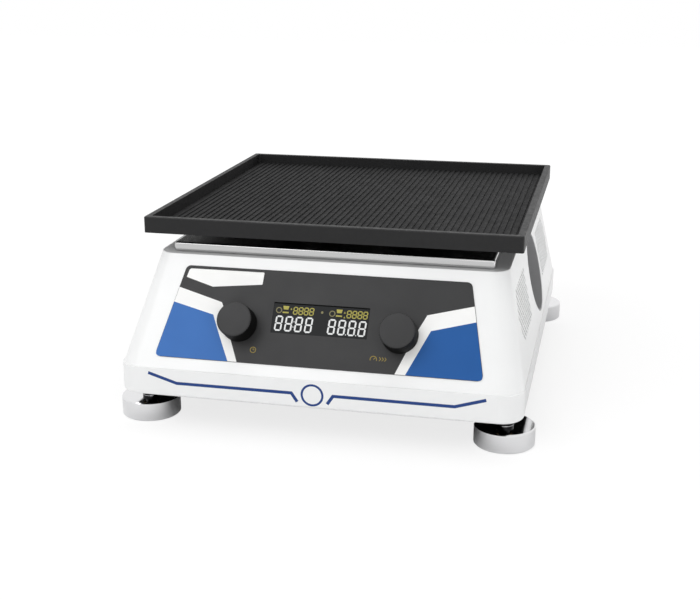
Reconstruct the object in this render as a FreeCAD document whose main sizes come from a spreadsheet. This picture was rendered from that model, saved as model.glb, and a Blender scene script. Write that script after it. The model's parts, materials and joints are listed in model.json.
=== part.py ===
import FreeCAD, Part
import math
import operator
import os
from types import SimpleNamespace

import Sketcher
from FreeCAD import Placement, Rotation, Vector

# Linear shaker for a laboratory bench, millimetres.
# X runs across the front (and is the shaking direction), Y runs from the front to the back, Z is up.
# The origin is on the bench under the middle of the base.

os.makedirs("parts", exist_ok=True)
doc = FreeCAD.newDocument("linear_shaker")
sheet = doc.addObject("Spreadsheet::Sheet", "Sizes")

DRIVING_SIZES = [
    # Base skirt and upper housing
    ("skirt_half_width", 184.2, "base skirt, centre to side"),
    ("skirt_half_length", 227.0, "base skirt, centre to front or back"),
    ("skirt_bottom", 31.0, "underside of the skirt above the bench"),
    ("parting_height", 57.0, "joint line of skirt and housing above the bench"),
    ("front_corner", 21.0, "plan radius of the skirt at its front corners"),
    ("rear_corner", 38.0, "plan radius of the skirt at its rear corners"),
    ("shell_wall", 3.0, "wall of the two mouldings"),
    ("skirt_edge_radius", 2.5, "round along the bottom edge of the skirt"),
    ("parting_step", 0.9, "how far the housing stands in from the skirt"),
    ("housing_height", 149.2, "top of the housing above the bench"),
    ("housing_top_half_width", 162.5, "top edge, centre to side"),
    ("front_lean", 57.6, "how far the front face leans back from foot to top"),
    ("rear_lean", 12.5, "how far the back leans forward from foot to top"),
    ("top_front_corner", 16.0, "plan radius of the top at its front corners"),
    ("top_rear_corner", 32.0, "plan radius of the top at its rear corners"),
    ("front_set_in", 2.2, "foot of the sloping front behind the front of the skirt"),
    ("top_wall", 4.4, "thickness of the top of the housing"),
    ("boss_in_side", 44.2, "closing screws in from the sides of the skirt"),
    ("boss_in_front", 77.0, "closing screws in from the front of the skirt"),
    ("boss_in_back", 37.0, "closing screws in from the back of the skirt"),
    ("boss_radius", 5.0, "posts that take the closing screws"),
    ("screw_radius", 2.0, "closing screws"),
    ("screw_head_radius", 4.0, "heads of the closing screws"),
    ("screw_head_height", 2.4, "heads of the closing screws"),
    ("screw_head_seat", 40.0, "seat of the closing screws' heads above the bench"),
    ("screw_grip", 28.0, "closing screws under the head"),
    # Top panel
    ("panel_rim", 1.2, "white rim round the grey top panel"),
    ("top_panel_thickness", 2.0, "grey top panel"),
    # Hand-holds
    ("hold_half_length", 48.5, "oval hand-hold, half its length"),
    ("hold_inset", 5.6, "oval hand-hold in from the foot and the top of the housing"),
    ("hold_depth", 14.0, "oval hand-hold, depth"),
    ("hold_wall", 2.0, "wall of the hand-hold cups"),
    ("hold_back", 18.0, "centre of the hand-holds behind the middle"),
    ("hold_below_middle", 1.6, "centre of the hand-holds below the middle of the housing's sides"),
    ("hold_sink", 0.4, "edge of the cups below the housing's face"),
    ("hold_lip", 3.0, "lip of the cups behind the housing's wall"),
    # Vents, measured in the housing's sides from the middle of the hand-holds
    ("vent_front_near", 85.0, "front vent field, its near end"),
    ("vent_front_far", 178.0, "front vent field, its far end"),
    ("vent_rear_near", 57.0, "rear vent field, its near end"),
    ("vent_rear_far", 153.0, "rear vent field, its far end"),
    ("vent_low", 21.0, "vent fields, lower edge"),
    ("vent_high", 27.0, "vent fields, upper edge"),
    ("vent_point", 12.0, "pointed far ends of the vent fields"),
    ("vent_slot", 3.0, "slots of the vents"),
    ("vent_pitch", 6.4, "slots of the vents, from one to the next"),
    # Feet
    ("foot_in_side", 17.9, "feet in from the sides of the skirt"),
    ("foot_in_end", 36.4, "feet in from the front and back of the skirt"),
    ("foot_radius", 27.2, "disc of a foot"),
    ("foot_height", 18.0, "disc of a foot"),
    ("foot_edge", 1.0, "chamfer of a foot's edges"),
    ("foot_neck_radius", 8.0, "neck above the disc"),
    ("foot_neck_height", 4.0, "neck above the disc"),
    ("stem_radius", 5.0, "stem of a foot"),
    ("insert_radius", 8.0, "brass bush that takes the stem"),
    ("insert_height", 15.0, "brass bush that takes the stem"),
    ("insert_wall", 4.0, "moulding round the bush"),
    ("running_gap", 0.05, "radial clearance of a shaft in its bearing"),
    ("seat_gap", 0.05, "radial clearance of pieces that are fixed in a hole"),
    ("clear_gap", 0.3, "gap between pieces that only pass each other"),
    # Front controls, up the sloping face from its middle
    ("fascia_top_half_width", 131.6, "top edge of the control panel, half its length"),
    ("fascia_bottom_half_width", 149.3, "bottom edge of the control panel, half its length"),
    ("fascia_half_height", 43.6, "control panel, half its height"),
    ("fascia_corner", 5.0, "control panel, corner radius"),
    ("fascia_thickness", 1.2, "control panel"),
    ("fascia_sink", 0.6, "how deep the control panel sits in the front"),
    ("window_half_width", 44.0, "display window, half its width"),
    ("window_half_height", 14.2, "display window, half its height"),
    ("window_thickness", 0.9, "display window"),
    ("window_ledge", 2.0, "ledge behind the display window"),
    ("knob_across", 73.4, "knobs, centre to side"),
    ("knob_below", 8.7, "knobs below the middle of the panel"),
    ("knob_radius", 16.4, "knob"),
    ("knob_draft", 0.5, "how much narrower a knob is at its front"),
    ("knob_height", 18.6, "knob"),
    ("knob_round", 1.6, "round on a knob's front edge"),
    ("knob_gap", 0.4, "knob above the panel when pressed in"),
    ("knob_bore_depth", 12.0, "blind bore in a knob"),
    ("knob_cup_radius", 6.0, "hollow under a knob"),
    ("knob_cup_depth", 3.0, "hollow under a knob"),
    ("knob_shaft_radius", 3.0, "shaft of a rotary encoder"),
    ("press_travel", 0.8, "how far a knob presses in"),
    ("bush_radius", 3.6, "bush of a rotary encoder"),
    ("bush_reach", 1.9, "bush above the control panel"),
    ("encoder_half_width", 6.6, "rotary encoder, half its side"),
    ("encoder_height", 8.0, "rotary encoder"),
    ("encoder_floor", 1.2, "bottom of a rotary encoder"),
    ("encoder_well_radius", 5.0, "hollow that holds the push plate"),
    ("encoder_well_spare", 0.7, "room under the push plate when pressed in"),
    ("push_plate_radius", 4.4, "plate that the shaft presses on"),
    ("push_plate_thickness", 1.0, "plate that the shaft presses on"),
    ("board_depth", 16.5, "control board behind the front face"),
    ("board_thickness", 1.6, "circuit boards"),
    ("board_half_width", 100.0, "control board, half its width"),
    ("board_half_height", 32.0, "control board, half its height"),
    ("standoff_inset", 6.0, "standoffs in from the board's edges"),
    ("standoff_radius", 3.5, "standoffs of the control board"),
    ("display_half_width", 47.0, "display module, half its width"),
    ("display_half_height", 18.0, "display module, half its height"),
    # Chassis and raised deck
    ("chassis_height", 40.0, "underside of the chassis plate above the bench"),
    ("chassis_thickness", 2.0, "chassis plate"),
    ("chassis_half_width", 150.0, "chassis plate, centre to side"),
    ("chassis_in_front", 87.0, "chassis plate behind the front of the skirt"),
    ("chassis_in_back", 49.0, "chassis plate before the back of the skirt"),
    ("chassis_screw_inset", 11.0, "chassis screws in from the plate's edges"),
    ("chassis_boss_radius", 6.0, "bosses under the chassis plate"),
    ("chassis_screw_grip", 4.5, "chassis screws in their bosses"),
    ("m4_radius", 2.0, "small machine screws"),
    ("m4_head_radius", 3.8, "heads of the small machine screws"),
    ("m4_head_height", 2.4, "heads of the small machine screws"),
    ("tray_back", 7.0, "middle of the tray behind the middle of the base"),
    ("pillar_height", 48.0, "pillars between chassis and deck"),
    ("deck_thickness", 4.0, "deck"),
    ("deck_left", 148.0, "deck, centre to the left"),
    ("deck_right", 115.0, "deck, centre to the right"),
    ("deck_in_front", 29.0, "deck behind the front of the chassis plate"),
    ("pillar_radius", 8.0, "pillars under the deck"),
    ("pillar_inset", 11.0, "pillars in from the deck's edges"),
    ("deck_screw_grip", 8.0, "deck screws in their pillars"),
    ("rail_inset", 18.0, "rails in from the deck's front and back edges"),
    ("rail_half_length", 90.0, "rail, half its length"),
    ("rail_half_width", 6.0, "rail, half its width"),
    ("rail_height", 8.0, "rail"),
    ("rail_groove", 1.3, "depth of the ball track in the rail's side"),
    ("rail_pad", 6.0, "raised pad under a rail"),
    ("rail_pad_half_width", 12.0, "raised pad under a rail, half its width"),
    ("block_half_width", 13.5, "bearing block, half its width"),
    ("block_half_length", 22.5, "bearing block, half its length"),
    ("block_height", 10.0, "bearing block"),
    ("block_rise", 3.0, "bearing block above the rail's foot"),
    ("rail_end_gap", 7.5, "rail past a block at the end of the stroke"),
    # Slider crank
    ("crank_radius", 10.0, "throw of the crank, half the stroke"),
    ("rod_length", 70.0, "connecting rod between its pins"),
    ("crank_left", 45.0, "crank shaft to the left of the middle"),
    ("crank_disc_radius", 22.0, "crank disc"),
    ("crank_disc_height", 6.0, "crank disc"),
    ("crank_disc_gap", 0.8, "crank disc above the deck"),
    ("crank_shaft_radius", 5.0, "crank shaft"),
    ("crank_hub_radius", 7.5, "hub of the crank disc"),
    ("crank_tap_radius", 3.0, "tapped hole for the crank pin"),
    ("rod_rise", 0.7, "rod above the crank disc"),
    ("rod_thickness", 8.0, "connecting rod"),
    ("rod_eye_wall", 4.0, "metal round a bearing of the rod"),
    ("rod_web_half_width", 6.0, "web of the rod, half its width"),
    ("rod_bearing_radius", 11.0, "ball bearing of the rod, outside"),
    ("rod_bearing_width", 7.0, "ball bearing of the rod"),
    ("rod_pin_radius", 4.0, "pins of the rod"),
    ("pin_head_radius", 6.5, "heads of the rod's pins"),
    ("pin_head_height", 2.6, "heads of the rod's pins"),
    ("pin_clip_height", 1.0, "clip at the foot of the wrist pin"),
    ("wrist_flange_height", 2.0, "flange of the wrist pin on the carriage"),
    ("shaft_bearing_radius", 13.0, "ball bearing of the crank shaft, outside"),
    ("shaft_bearing_width", 8.0, "ball bearing of the crank shaft"),
    ("housing_radius", 19.0, "bearing housing, outside"),
    ("housing_drop", 24.0, "bearing housing below the deck"),
    ("housing_flange_radius", 30.0, "flange of the bearing housing"),
    ("housing_flange_height", 5.0, "flange of the bearing housing"),
    ("housing_shoulder_radius", 10.0, "inner shoulder of the bearing housing"),
    ("bearing_inset", 1.0, "bearings in from the ends of their housing"),
    # Belt drive
    ("motor_left", 112.0, "motor shaft to the left of the middle"),
    ("belt_drop", 38.0, "lower edge of the belt below the deck"),
    ("belt_width", 10.0, "belt"),
    ("belt_thickness", 1.6, "belt"),
    ("driven_rim_radius", 30.0, "rim of the driven pulley"),
    ("motor_rim_radius", 11.25, "rim of the motor pulley"),
    ("flange_rise", 3.0, "pulley flanges above the rims"),
    ("flange_width", 1.7, "pulley flanges"),
    ("hub_radius", 9.0, "hubs of the pulleys"),
    ("motor_half_side", 28.5, "motor, half its side"),
    ("motor_height", 42.0, "motor"),
    ("motor_corner", 5.0, "motor, corner radius"),
    ("motor_cap", 8.0, "square end caps of the motor"),
    ("motor_waist", 0.5, "round body of the motor inside its caps' sides"),
    ("motor_shaft_radius", 4.0, "motor shaft"),
    ("motor_shaft_grip", 10.0, "motor shaft inside the motor"),
    ("shaft_proud", 1.0, "shafts below their pulleys"),
    ("bracket_drop", 24.0, "underside of the motor bracket below the deck"),
    ("bracket_thickness", 3.0, "motor bracket"),
    ("bracket_half_length", 30.0, "motor bracket, half its length"),
    ("bracket_ear", 18.0, "ears of the motor bracket"),
    ("bracket_hole_radius", 12.0, "hole for the motor shaft"),
    ("motor_side_gap", 0.5, "motor to the sides of its bracket"),
    ("motor_window_gap", 1.5, "motor to the window in the deck"),
    # Carriage, platform and tray
    ("carriage_past_blocks", 2.5, "carriage plate past the ends of its blocks"),
    ("carriage_past_rails", 15.0, "carriage plate past the middle of the rails"),
    ("carriage_thickness", 5.0, "carriage plate"),
    ("access_radius", 20.0, "access hole over the crank"),
    ("post_across", 58.0, "tray posts, centre to side"),
    ("post_inside_rails", 15.0, "tray posts in from the middle of the rails"),
    ("post_radius", 7.0, "tray posts"),
    ("post_spigot_radius", 4.0, "spigot of a post in the carriage"),
    ("slot_margin", 2.0, "room round a post in its slot"),
    ("slot_flat", 0.5, "straight ends of the slots, half their length"),
    ("platform_half_width", 149.7, "steel platform, centre to side"),
    ("platform_half_length", 165.2, "steel platform, half its length"),
    ("platform_gap", 0.6, "turned-down edge above the top panel"),
    ("platform_height", 8.0, "steel platform with its turned-down edge"),
    ("platform_sheet", 1.5, "sheet of the steel platform"),
    ("platform_bend", 2.4, "outer bend of the turned-down edge"),
    ("spacer_height", 9.7, "tray above the steel platform"),
    ("spacer_radius", 11.0, "spacers under the tray"),
    ("tray_half_width", 175.0, "tray, centre to side"),
    ("tray_half_length", 175.0, "tray, half its length"),
    ("tray_height", 15.0, "tray"),
    ("tray_rim", 6.0, "wall of the tray"),
    ("tray_floor", 3.0, "floor of the tray"),
    ("tray_corner", 2.5, "corner radius of the tray"),
    ("tray_edge", 0.8, "chamfer along the tray's rim"),
    ("mat_gap", 0.5, "mat to the tray's wall"),
    ("mat_base", 1.0, "mat under its ribs"),
    ("rib_pitch", 6.0, "ribs of the mat"),
    ("rib_width", 3.0, "ribs of the mat"),
    ("rib_height", 1.0, "ribs of the mat"),
    ("m5_radius", 2.5, "tray screws"),
    ("m5_head_radius", 5.0, "heads of the tray screws"),
    ("m5_head_height", 2.0, "heads of the tray screws"),
    ("m5_grip", 14.0, "tray screws inside the posts"),
    # Rear electrics, up the back from its middle
    ("inlet_right", 104.0, "mains inlet to the side of the middle"),
    ("inlet_below", 16.0, "mains inlet below the middle of the back"),
    ("inlet_half_width", 14.0, "body of the mains inlet, half its width"),
    ("inlet_half_height", 10.5, "body of the mains inlet, half its height"),
    ("inlet_depth", 24.0, "body of the mains inlet behind the wall's face"),
    ("inlet_flange", 4.0, "flange round the mains inlet"),
    ("inlet_flange_thickness", 2.5, "flange of the mains inlet"),
    ("inlet_wall", 2.0, "wall of the mains inlet"),
    ("inlet_socket_depth", 18.0, "depth of the socket"),
    ("blade_length", 13.0, "contact blades in the socket"),
    ("blade_half_width", 2.0, "contact blades, half their width"),
    ("blade_half_thickness", 1.0, "contact blades, half their thickness"),
    ("blade_spacing", 7.0, "outer contact blades, centre to side"),
    ("blade_offset", 2.0, "blades above or below the middle of the socket"),
    ("earth_blade_extra", 1.0, "how much longer the earth blade is"),
    ("switch_right", 62.0, "power switch to the side of the middle"),
    ("switch_half_width", 12.5, "rocker opening, half its width"),
    ("switch_half_height", 8.2, "rocker opening, half its height"),
    ("switch_wall", 1.6, "wall of the switch frame"),
    ("switch_depth", 15.0, "switch frame behind the wall's face"),
    ("switch_flange", 2.4, "flange round the switch"),
    ("switch_flange_thickness", 1.8, "flange of the switch"),
    ("rocker_gap", 0.6, "rocker to the sides of its frame"),
    ("rocker_half_height", 6.8, "rocker, half its height"),
    ("rocker_pivot_depth", 4.0, "pivot of the rocker behind the wall's face"),
    ("rocker_rise", 2.8, "tips of the rocker outside the wall's face"),
    ("rocker_waist", 1.2, "middle of the rocker outside the wall's face"),
    ("rocker_throw", 16.0, "rocker, degrees from off to on"),
    ("rocker_pin_radius", 1.5, "pivot pin of the rocker"),
    ("supply_half_width", 52.0, "power supply, half its width"),
    ("supply_half_depth", 24.0, "power supply, half its depth"),
    ("supply_height", 30.0, "power supply"),
    ("supply_right", 30.0, "power supply to the right of the middle"),
    ("supply_in_back", 28.0, "power supply in from the back of the chassis"),
    ("supply_fin", 3.0, "fins of the power supply's cover"),
]


PAST = 1.0  # a cutting tool runs this far past the face that it cuts
SUPPLY_SLOTS = 6  # slots in the cover of the power supply
VENT_LEAN = 45  # degrees between the slots of the vents and the bench
CUT_WALLS = 3  # a cut through the shell is this many walls deep
RAIL_TRACK = (0.4, 0.55, 0.7, 0.85)  # corners of a rail's ball track, as shares of its height
RACE_SHARE = 0.25  # a bearing's race, as a share of its ring
SHIELD_SINK = 0.08  # shields set in, as a share of the bearing's width
FOLD_SHARE = 0.9  # round along the platform's top, as a share of its corner bend


class Size:
    """A number that also knows the sheet formula that gives it."""

    def __init__(self, number, formula):
        self.number = number
        self.formula = formula

    def __add__(self, other):
        return joined(self, "+", other)

    def __radd__(self, other):
        return joined(other, "+", self)

    def __sub__(self, other):
        return joined(self, "-", other)

    def __rsub__(self, other):
        return joined(other, "-", self)

    def __mul__(self, other):
        return joined(self, "*", other)

    def __rmul__(self, other):
        return joined(other, "*", self)

    def __truediv__(self, other):
        return joined(self, "/", other)

    def __neg__(self):
        return joined(0.0, "-", self)


SIGNS = {"+": operator.add, "-": operator.sub, "*": operator.mul, "/": operator.truediv}


def size_of(value):
    return value if isinstance(value, Size) else Size(float(value), repr(float(value)))


def joined(left, sign, right):
    left, right = size_of(left), size_of(right)
    return Size(SIGNS[sign](left.number, right.number), f"({left.formula} {sign} {right.formula})")


def number(value):
    return size_of(value).number


def fill_sheet():
    """Write the driving sizes to the sheet and give each one back as a Size."""
    sizes = SimpleNamespace()
    for row, (alias, value, note) in enumerate(DRIVING_SIZES, start=1):
        sheet.set(f"A{row}", alias)
        sheet.set(f"B{row}", str(value))
        sheet.set(f"C{row}", note)
        sheet.setAlias(f"B{row}", alias)
        setattr(sizes, alias, Size(float(value), f"Sizes.{alias}"))
    doc.recompute()
    return sizes


S = fill_sheet()
nodes = []


# Small tools for the document


def node(thing, label):
    """Name a finished sub-part and keep it for the export."""
    thing.Label = label
    nodes.append(thing)
    return thing


def bind(thing, prop, value):
    size = size_of(value)
    setattr(thing, prop, size.number)
    thing.setExpression(prop, size.formula)


def place(thing, x=0.0, y=0.0, z=0.0, turn=None):
    spot = [size_of(v) for v in (x, y, z)]
    thing.Placement = Placement(Vector(*[s.number for s in spot]), turn or Rotation())
    for axis, size in zip("xyz", spot):
        thing.setExpression(f"Placement.Base.{axis}", size.formula)
    return thing


def box(name, x, y, z):
    """A block between two X, two Y and two Z values, each given as (low, high)."""
    block = doc.addObject("Part::Box", name)
    for prop, (low, high) in zip(("Length", "Width", "Height"), (x, y, z)):
        bind(block, prop, high - low)
    return place(block, x[0], y[0], z[0])


def cylinder(name, x, y, z, radius):
    """An upright cylinder at x, y between two Z values."""
    rod = doc.addObject("Part::Cylinder", name)
    bind(rod, "Radius", radius)
    bind(rod, "Height", z[1] - z[0])
    return place(rod, x, y, z[0])


def around(middle, half):
    return (middle - half, middle + half)


def moved(thing, frame):
    """Carry a piece that was built flat into a tilted frame."""
    here = Placement(thing.Placement)
    for axis in "xyz":
        thing.setExpression(f"Placement.Base.{axis}", None)
    thing.Placement = frame.multiply(here)
    return thing


def fused(name, things):
    whole = doc.addObject("Part::MultiFuse", name)
    whole.Shapes = things
    return whole


def cut(name, base, tools):
    """Take tools away from base, and stop if nothing came off."""
    result = doc.addObject("Part::Cut", name)
    result.Base = base
    result.Tool = tools[0] if len(tools) == 1 else fused(name + "_tools", tools)
    doc.recompute()
    if not result.Shape.Volume < base.Shape.Volume - 1e-3:
        raise ValueError(f"{name}: the cut takes nothing away")
    return result


def group(name, things):
    together = doc.addObject("Part::Compound", name)
    together.Links = things
    return together


def new_body(name):
    return doc.addObject("PartDesign::Body", name)


def origin_plane(body, role):
    return next(f for f in body.Origin.OriginFeatures if f.Role == role)


def sketch_in(body, name, role="XY_Plane", lift=0.0):
    """A sketch on one of the body's own planes, lifted along the plane's normal."""
    sketch = body.newObject("Sketcher::SketchObject", name)
    sketch.AttachmentSupport = (origin_plane(body, role), [""])
    sketch.MapMode = "FlatFace"
    lift = size_of(lift)
    sketch.AttachmentOffset = Placement(Vector(0, 0, lift.number), Rotation())
    sketch.setExpression("AttachmentOffset.Base.z", lift.formula)
    return sketch


def dimension(sketch, kind, where, value):
    size = size_of(value)
    index = sketch.addConstraint(Sketcher.Constraint(kind, *where, size.number))
    sketch.setExpression(f"Constraints[{index}]", size.formula)


def polygon(sketch, corners):
    """A closed outline whose corners are each held at their own two sizes."""
    points = [Vector(number(x), number(y), 0) for x, y in corners]
    first = sketch.GeometryCount
    for start, end in zip(points, points[1:] + points[:1]):
        sketch.addGeometry(Part.LineSegment(start, end), False)
    for i, (x, y) in enumerate(corners):
        here, before = first + i, first + (i - 1) % len(corners)
        sketch.addConstraint(Sketcher.Constraint("Coincident", before, 2, here, 1))
        dimension(sketch, "DistanceX", (-1, 1, here, 1), x)
        dimension(sketch, "DistanceY", (-1, 1, here, 1), y)


def rounded(sketch, x, y, low_radius, high_radius=None):
    """A rectangle with round corners: one radius along its low Y side, one along its high side."""
    high_radius = low_radius if high_radius is None else high_radius
    left, right, low, high = (number(v) for v in (*x, *y))
    r_low, r_high = number(low_radius), number(high_radius)
    first = sketch.GeometryCount
    corners = [
        (right - r_low, low + r_low, r_low, -90),
        (right - r_high, high - r_high, r_high, 0),
        (left + r_high, high - r_high, r_high, 90),
        (left + r_low, low + r_low, r_low, 180),
    ]
    arcs = []
    for cx, cy, radius, start in corners:
        ring = Part.Circle(Vector(cx, cy, 0), Vector(0, 0, 1), radius)
        arcs.append(Part.ArcOfCircle(ring, math.radians(start), math.radians(start + 90)))
    for i, arc in enumerate(arcs):
        sketch.addGeometry(Part.LineSegment(arcs[i - 1].EndPoint, arc.StartPoint), False)
        sketch.addGeometry(arc, False)
    count = 8
    for i in range(count):
        here, after = first + i, first + (i + 1) % count
        sketch.addConstraint(Sketcher.Constraint("Tangent", here, 2, after, 1))
    for i, kind in enumerate(("Horizontal", "Vertical", "Horizontal", "Vertical")):
        sketch.addConstraint(Sketcher.Constraint(kind, first + 2 * i))
    for i, radius in enumerate((low_radius, high_radius, high_radius, low_radius)):
        dimension(sketch, "Radius", (first + 2 * i + 1,), radius)
    dimension(sketch, "DistanceY", (-1, 1, first, 1), y[0])
    dimension(sketch, "DistanceX", (-1, 1, first + 2, 1), x[1])
    dimension(sketch, "DistanceY", (-1, 1, first + 4, 1), y[1])
    dimension(sketch, "DistanceX", (-1, 1, first + 6, 1), x[0])


def circle(sketch, x, y, radius):
    ring = Part.Circle(Vector(number(x), number(y), 0), Vector(0, 0, 1), number(radius))
    index = sketch.addGeometry(ring, False)
    dimension(sketch, "DistanceX", (-1, 1, index, 3), x)
    dimension(sketch, "DistanceY", (-1, 1, index, 3), y)
    dimension(sketch, "Radius", (index,), radius)


def pad(body, sketch, height, midplane=False):
    feature = body.newObject("PartDesign::Pad", sketch.Name + "_pad")
    feature.Profile = sketch
    bind(feature, "Length", height)
    feature.Midplane = midplane
    doc.recompute()
    return feature


def pocket(body, sketch, depth):
    """Cut downwards from the sketch, and stop if nothing came off."""
    before = body.Shape.Volume
    feature = body.newObject("PartDesign::Pocket", sketch.Name + "_pocket")
    feature.Profile = sketch
    bind(feature, "Length", depth)
    doc.recompute()
    if not body.Shape.Volume < before - 1e-3:
        raise ValueError(f"{feature.Name}: the pocket takes nothing away")
    return feature


def turned(name, profile, x=0.0, y=0.0):
    """A turned piece: profile is its half section as (radius, height) corners."""
    body = new_body(name)
    sketch = sketch_in(body, name + "_section", "XZ_Plane")
    polygon(sketch, profile)
    spin = body.newObject("PartDesign::Revolution", name + "_turned")
    spin.Profile = sketch
    spin.ReferenceAxis = (sketch, ["V_Axis"])
    spin.Angle = 360
    doc.recompute()
    place(body, x, y, 0.0)
    return body


def extruded(name, corners, length, role, x=0.0, y=0.0, z=0.0):
    """A straight profile: corners in the plane of the role, length shared to both sides."""
    body = new_body(name)
    sketch = sketch_in(body, name + "_profile", role)
    polygon(sketch, corners)
    pad(body, sketch, length, midplane=True)
    place(body, x, y, z)
    return body


def edge_names(shape, wanted):
    return [f"Edge{i}" for i, edge in enumerate(shape.Edges, start=1) if wanted(edge)]


def rounded_edges(body, radius, wanted, kind="PartDesign::Fillet"):
    """Fillet, or chamfer, the edges of the body's last feature that pass the test."""
    base = body.Tip
    feature = body.newObject(kind, f"{body.Name}_{kind.split('::')[1].lower()}")
    feature.Base = (base, edge_names(base.Shape, wanted))
    bind(feature, "Radius" if kind.endswith("Fillet") else "Size", radius)
    doc.recompute()
    return feature


def edge_at(height, tolerance=0.01):
    """Edges that lie level at a height."""
    height = number(height)

    def wanted(edge):
        bounds = edge.BoundBox
        return abs(bounds.ZMin - height) < tolerance and abs(bounds.ZMax - height) < tolerance

    return wanted


# Frames on the three sloping faces of the housing: x along the face, y up the slope, z outwards

rise = S.housing_height - S.parting_height
foot_front = S.skirt_half_length - S.front_set_in
foot_back = S.skirt_half_length - S.parting_step
foot_side = S.skirt_half_width - S.parting_step
side_lean = foot_side - S.housing_top_half_width
middle_height = S.parting_height + rise / 2

# Places in plan that follow the skirt

foot_across = S.skirt_half_width - S.foot_in_side
foot_along = S.skirt_half_length - S.foot_in_end
boss_across = S.skirt_half_width - S.boss_in_side
boss_front = S.skirt_half_length - S.boss_in_front
boss_back = S.skirt_half_length - S.boss_in_back
chassis_front = S.skirt_half_length - S.chassis_in_front
chassis_back = S.skirt_half_length - S.chassis_in_back
deck_half_length = chassis_front + S.tray_back - S.deck_in_front
rail_spacing = deck_half_length - S.rail_inset
block_spacing = S.rail_half_length - S.block_half_length - S.crank_radius - S.rail_end_gap
carriage_half_width = block_spacing + S.block_half_length + S.carriage_past_blocks
carriage_half_length = rail_spacing + S.carriage_past_rails
post_along = rail_spacing - S.post_inside_rails

# Hand-holds, between the foot and the top of the housing's sides

hold_height = middle_height - S.hold_below_middle
hold_half_height = rise / 2 - S.hold_inset

# Levels inside, from the chassis up

chassis_top = S.chassis_height + S.chassis_thickness
deck_height = chassis_top + S.pillar_height
belt_height = deck_height - S.belt_drop
bracket_height = deck_height - S.bracket_drop


def lean_angle(lean):
    return math.degrees(math.atan2(number(lean), number(rise)))


def front_frame():
    """Middle of the sloping front."""
    spot = Vector(0, -number(foot_front - S.front_lean / 2), number(middle_height))
    return Placement(spot, Rotation(Vector(1, 0, 0), 90 - lean_angle(S.front_lean)))


def back_frame():
    """Middle of the back."""
    spot = Vector(0, number(foot_back - S.rear_lean / 2), number(middle_height))
    half_turn = Rotation(Vector(0, 0, 1), 180)
    return Placement(spot, half_turn.multiply(Rotation(Vector(1, 0, 0), 90 - lean_angle(S.rear_lean))))


def side_frame(side):
    """Middle of the hand-hold on one side, -1 for left and 1 for right."""
    share = (hold_height - S.parting_height) / rise
    spot = Vector(side * number(foot_side - side_lean * share), number(S.hold_back), number(hold_height))
    quarter = Rotation(Vector(0, 0, 1), 90 * side)
    return Placement(spot, quarter.multiply(Rotation(Vector(1, 0, 0), 90 - lean_angle(side_lean))))


def corners_of(across, along, x=0.0, y=0.0):
    """The four corners of a rectangle about a point, front left first."""
    return [(x + i * across, y + j * along) for j in (-1, 1) for i in (-1, 1)]


# Feet

CORNER_NAMES = ("front_left", "front_right", "rear_left", "rear_right")


def make_feet():
    top_of_neck = S.foot_height + S.foot_neck_height
    stem_top = S.skirt_bottom + S.insert_height
    edge = S.foot_edge
    profile = [
        (0.0, 0.0),
        (S.foot_radius - edge, 0.0),
        (S.foot_radius, edge),
        (S.foot_radius, S.foot_height - edge),
        (S.foot_radius - edge, S.foot_height),
        (S.foot_neck_radius, S.foot_height),
        (S.foot_neck_radius, top_of_neck),
        (S.stem_radius, top_of_neck),
        (S.stem_radius, stem_top),
        (0.0, stem_top),
    ]
    for name, (x, y) in zip(CORNER_NAMES, corners_of(foot_across, foot_along)):
        node(turned(f"levelling_foot_{name}", profile, x, y), f"levelling_foot_{name}")


def make_foot_inserts():
    inner = S.stem_radius + S.running_gap
    low, high = S.skirt_bottom, S.skirt_bottom + S.insert_height
    profile = [(inner, low), (S.insert_radius, low), (S.insert_radius, high), (inner, high)]
    bushes = []
    for name, (x, y) in zip(CORNER_NAMES, corners_of(foot_across, foot_along)):
        bushes.append(turned(f"insert_{name}", profile, x, y))
    node(group("foot_inserts_group", bushes), "foot_inserts")


# Base skirt


def closing_screw_spots():
    front = [(-boss_across, -boss_front), (boss_across, -boss_front)]
    back = [(-boss_across, boss_back), (boss_across, boss_back)]
    return front + back


def chassis_screw_spots():
    across = S.chassis_half_width - S.chassis_screw_inset
    front = chassis_front - S.chassis_screw_inset
    back = chassis_back - S.chassis_screw_inset
    return [(-across, -front), (across, -front), (-across, back), (across, back)]


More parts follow.
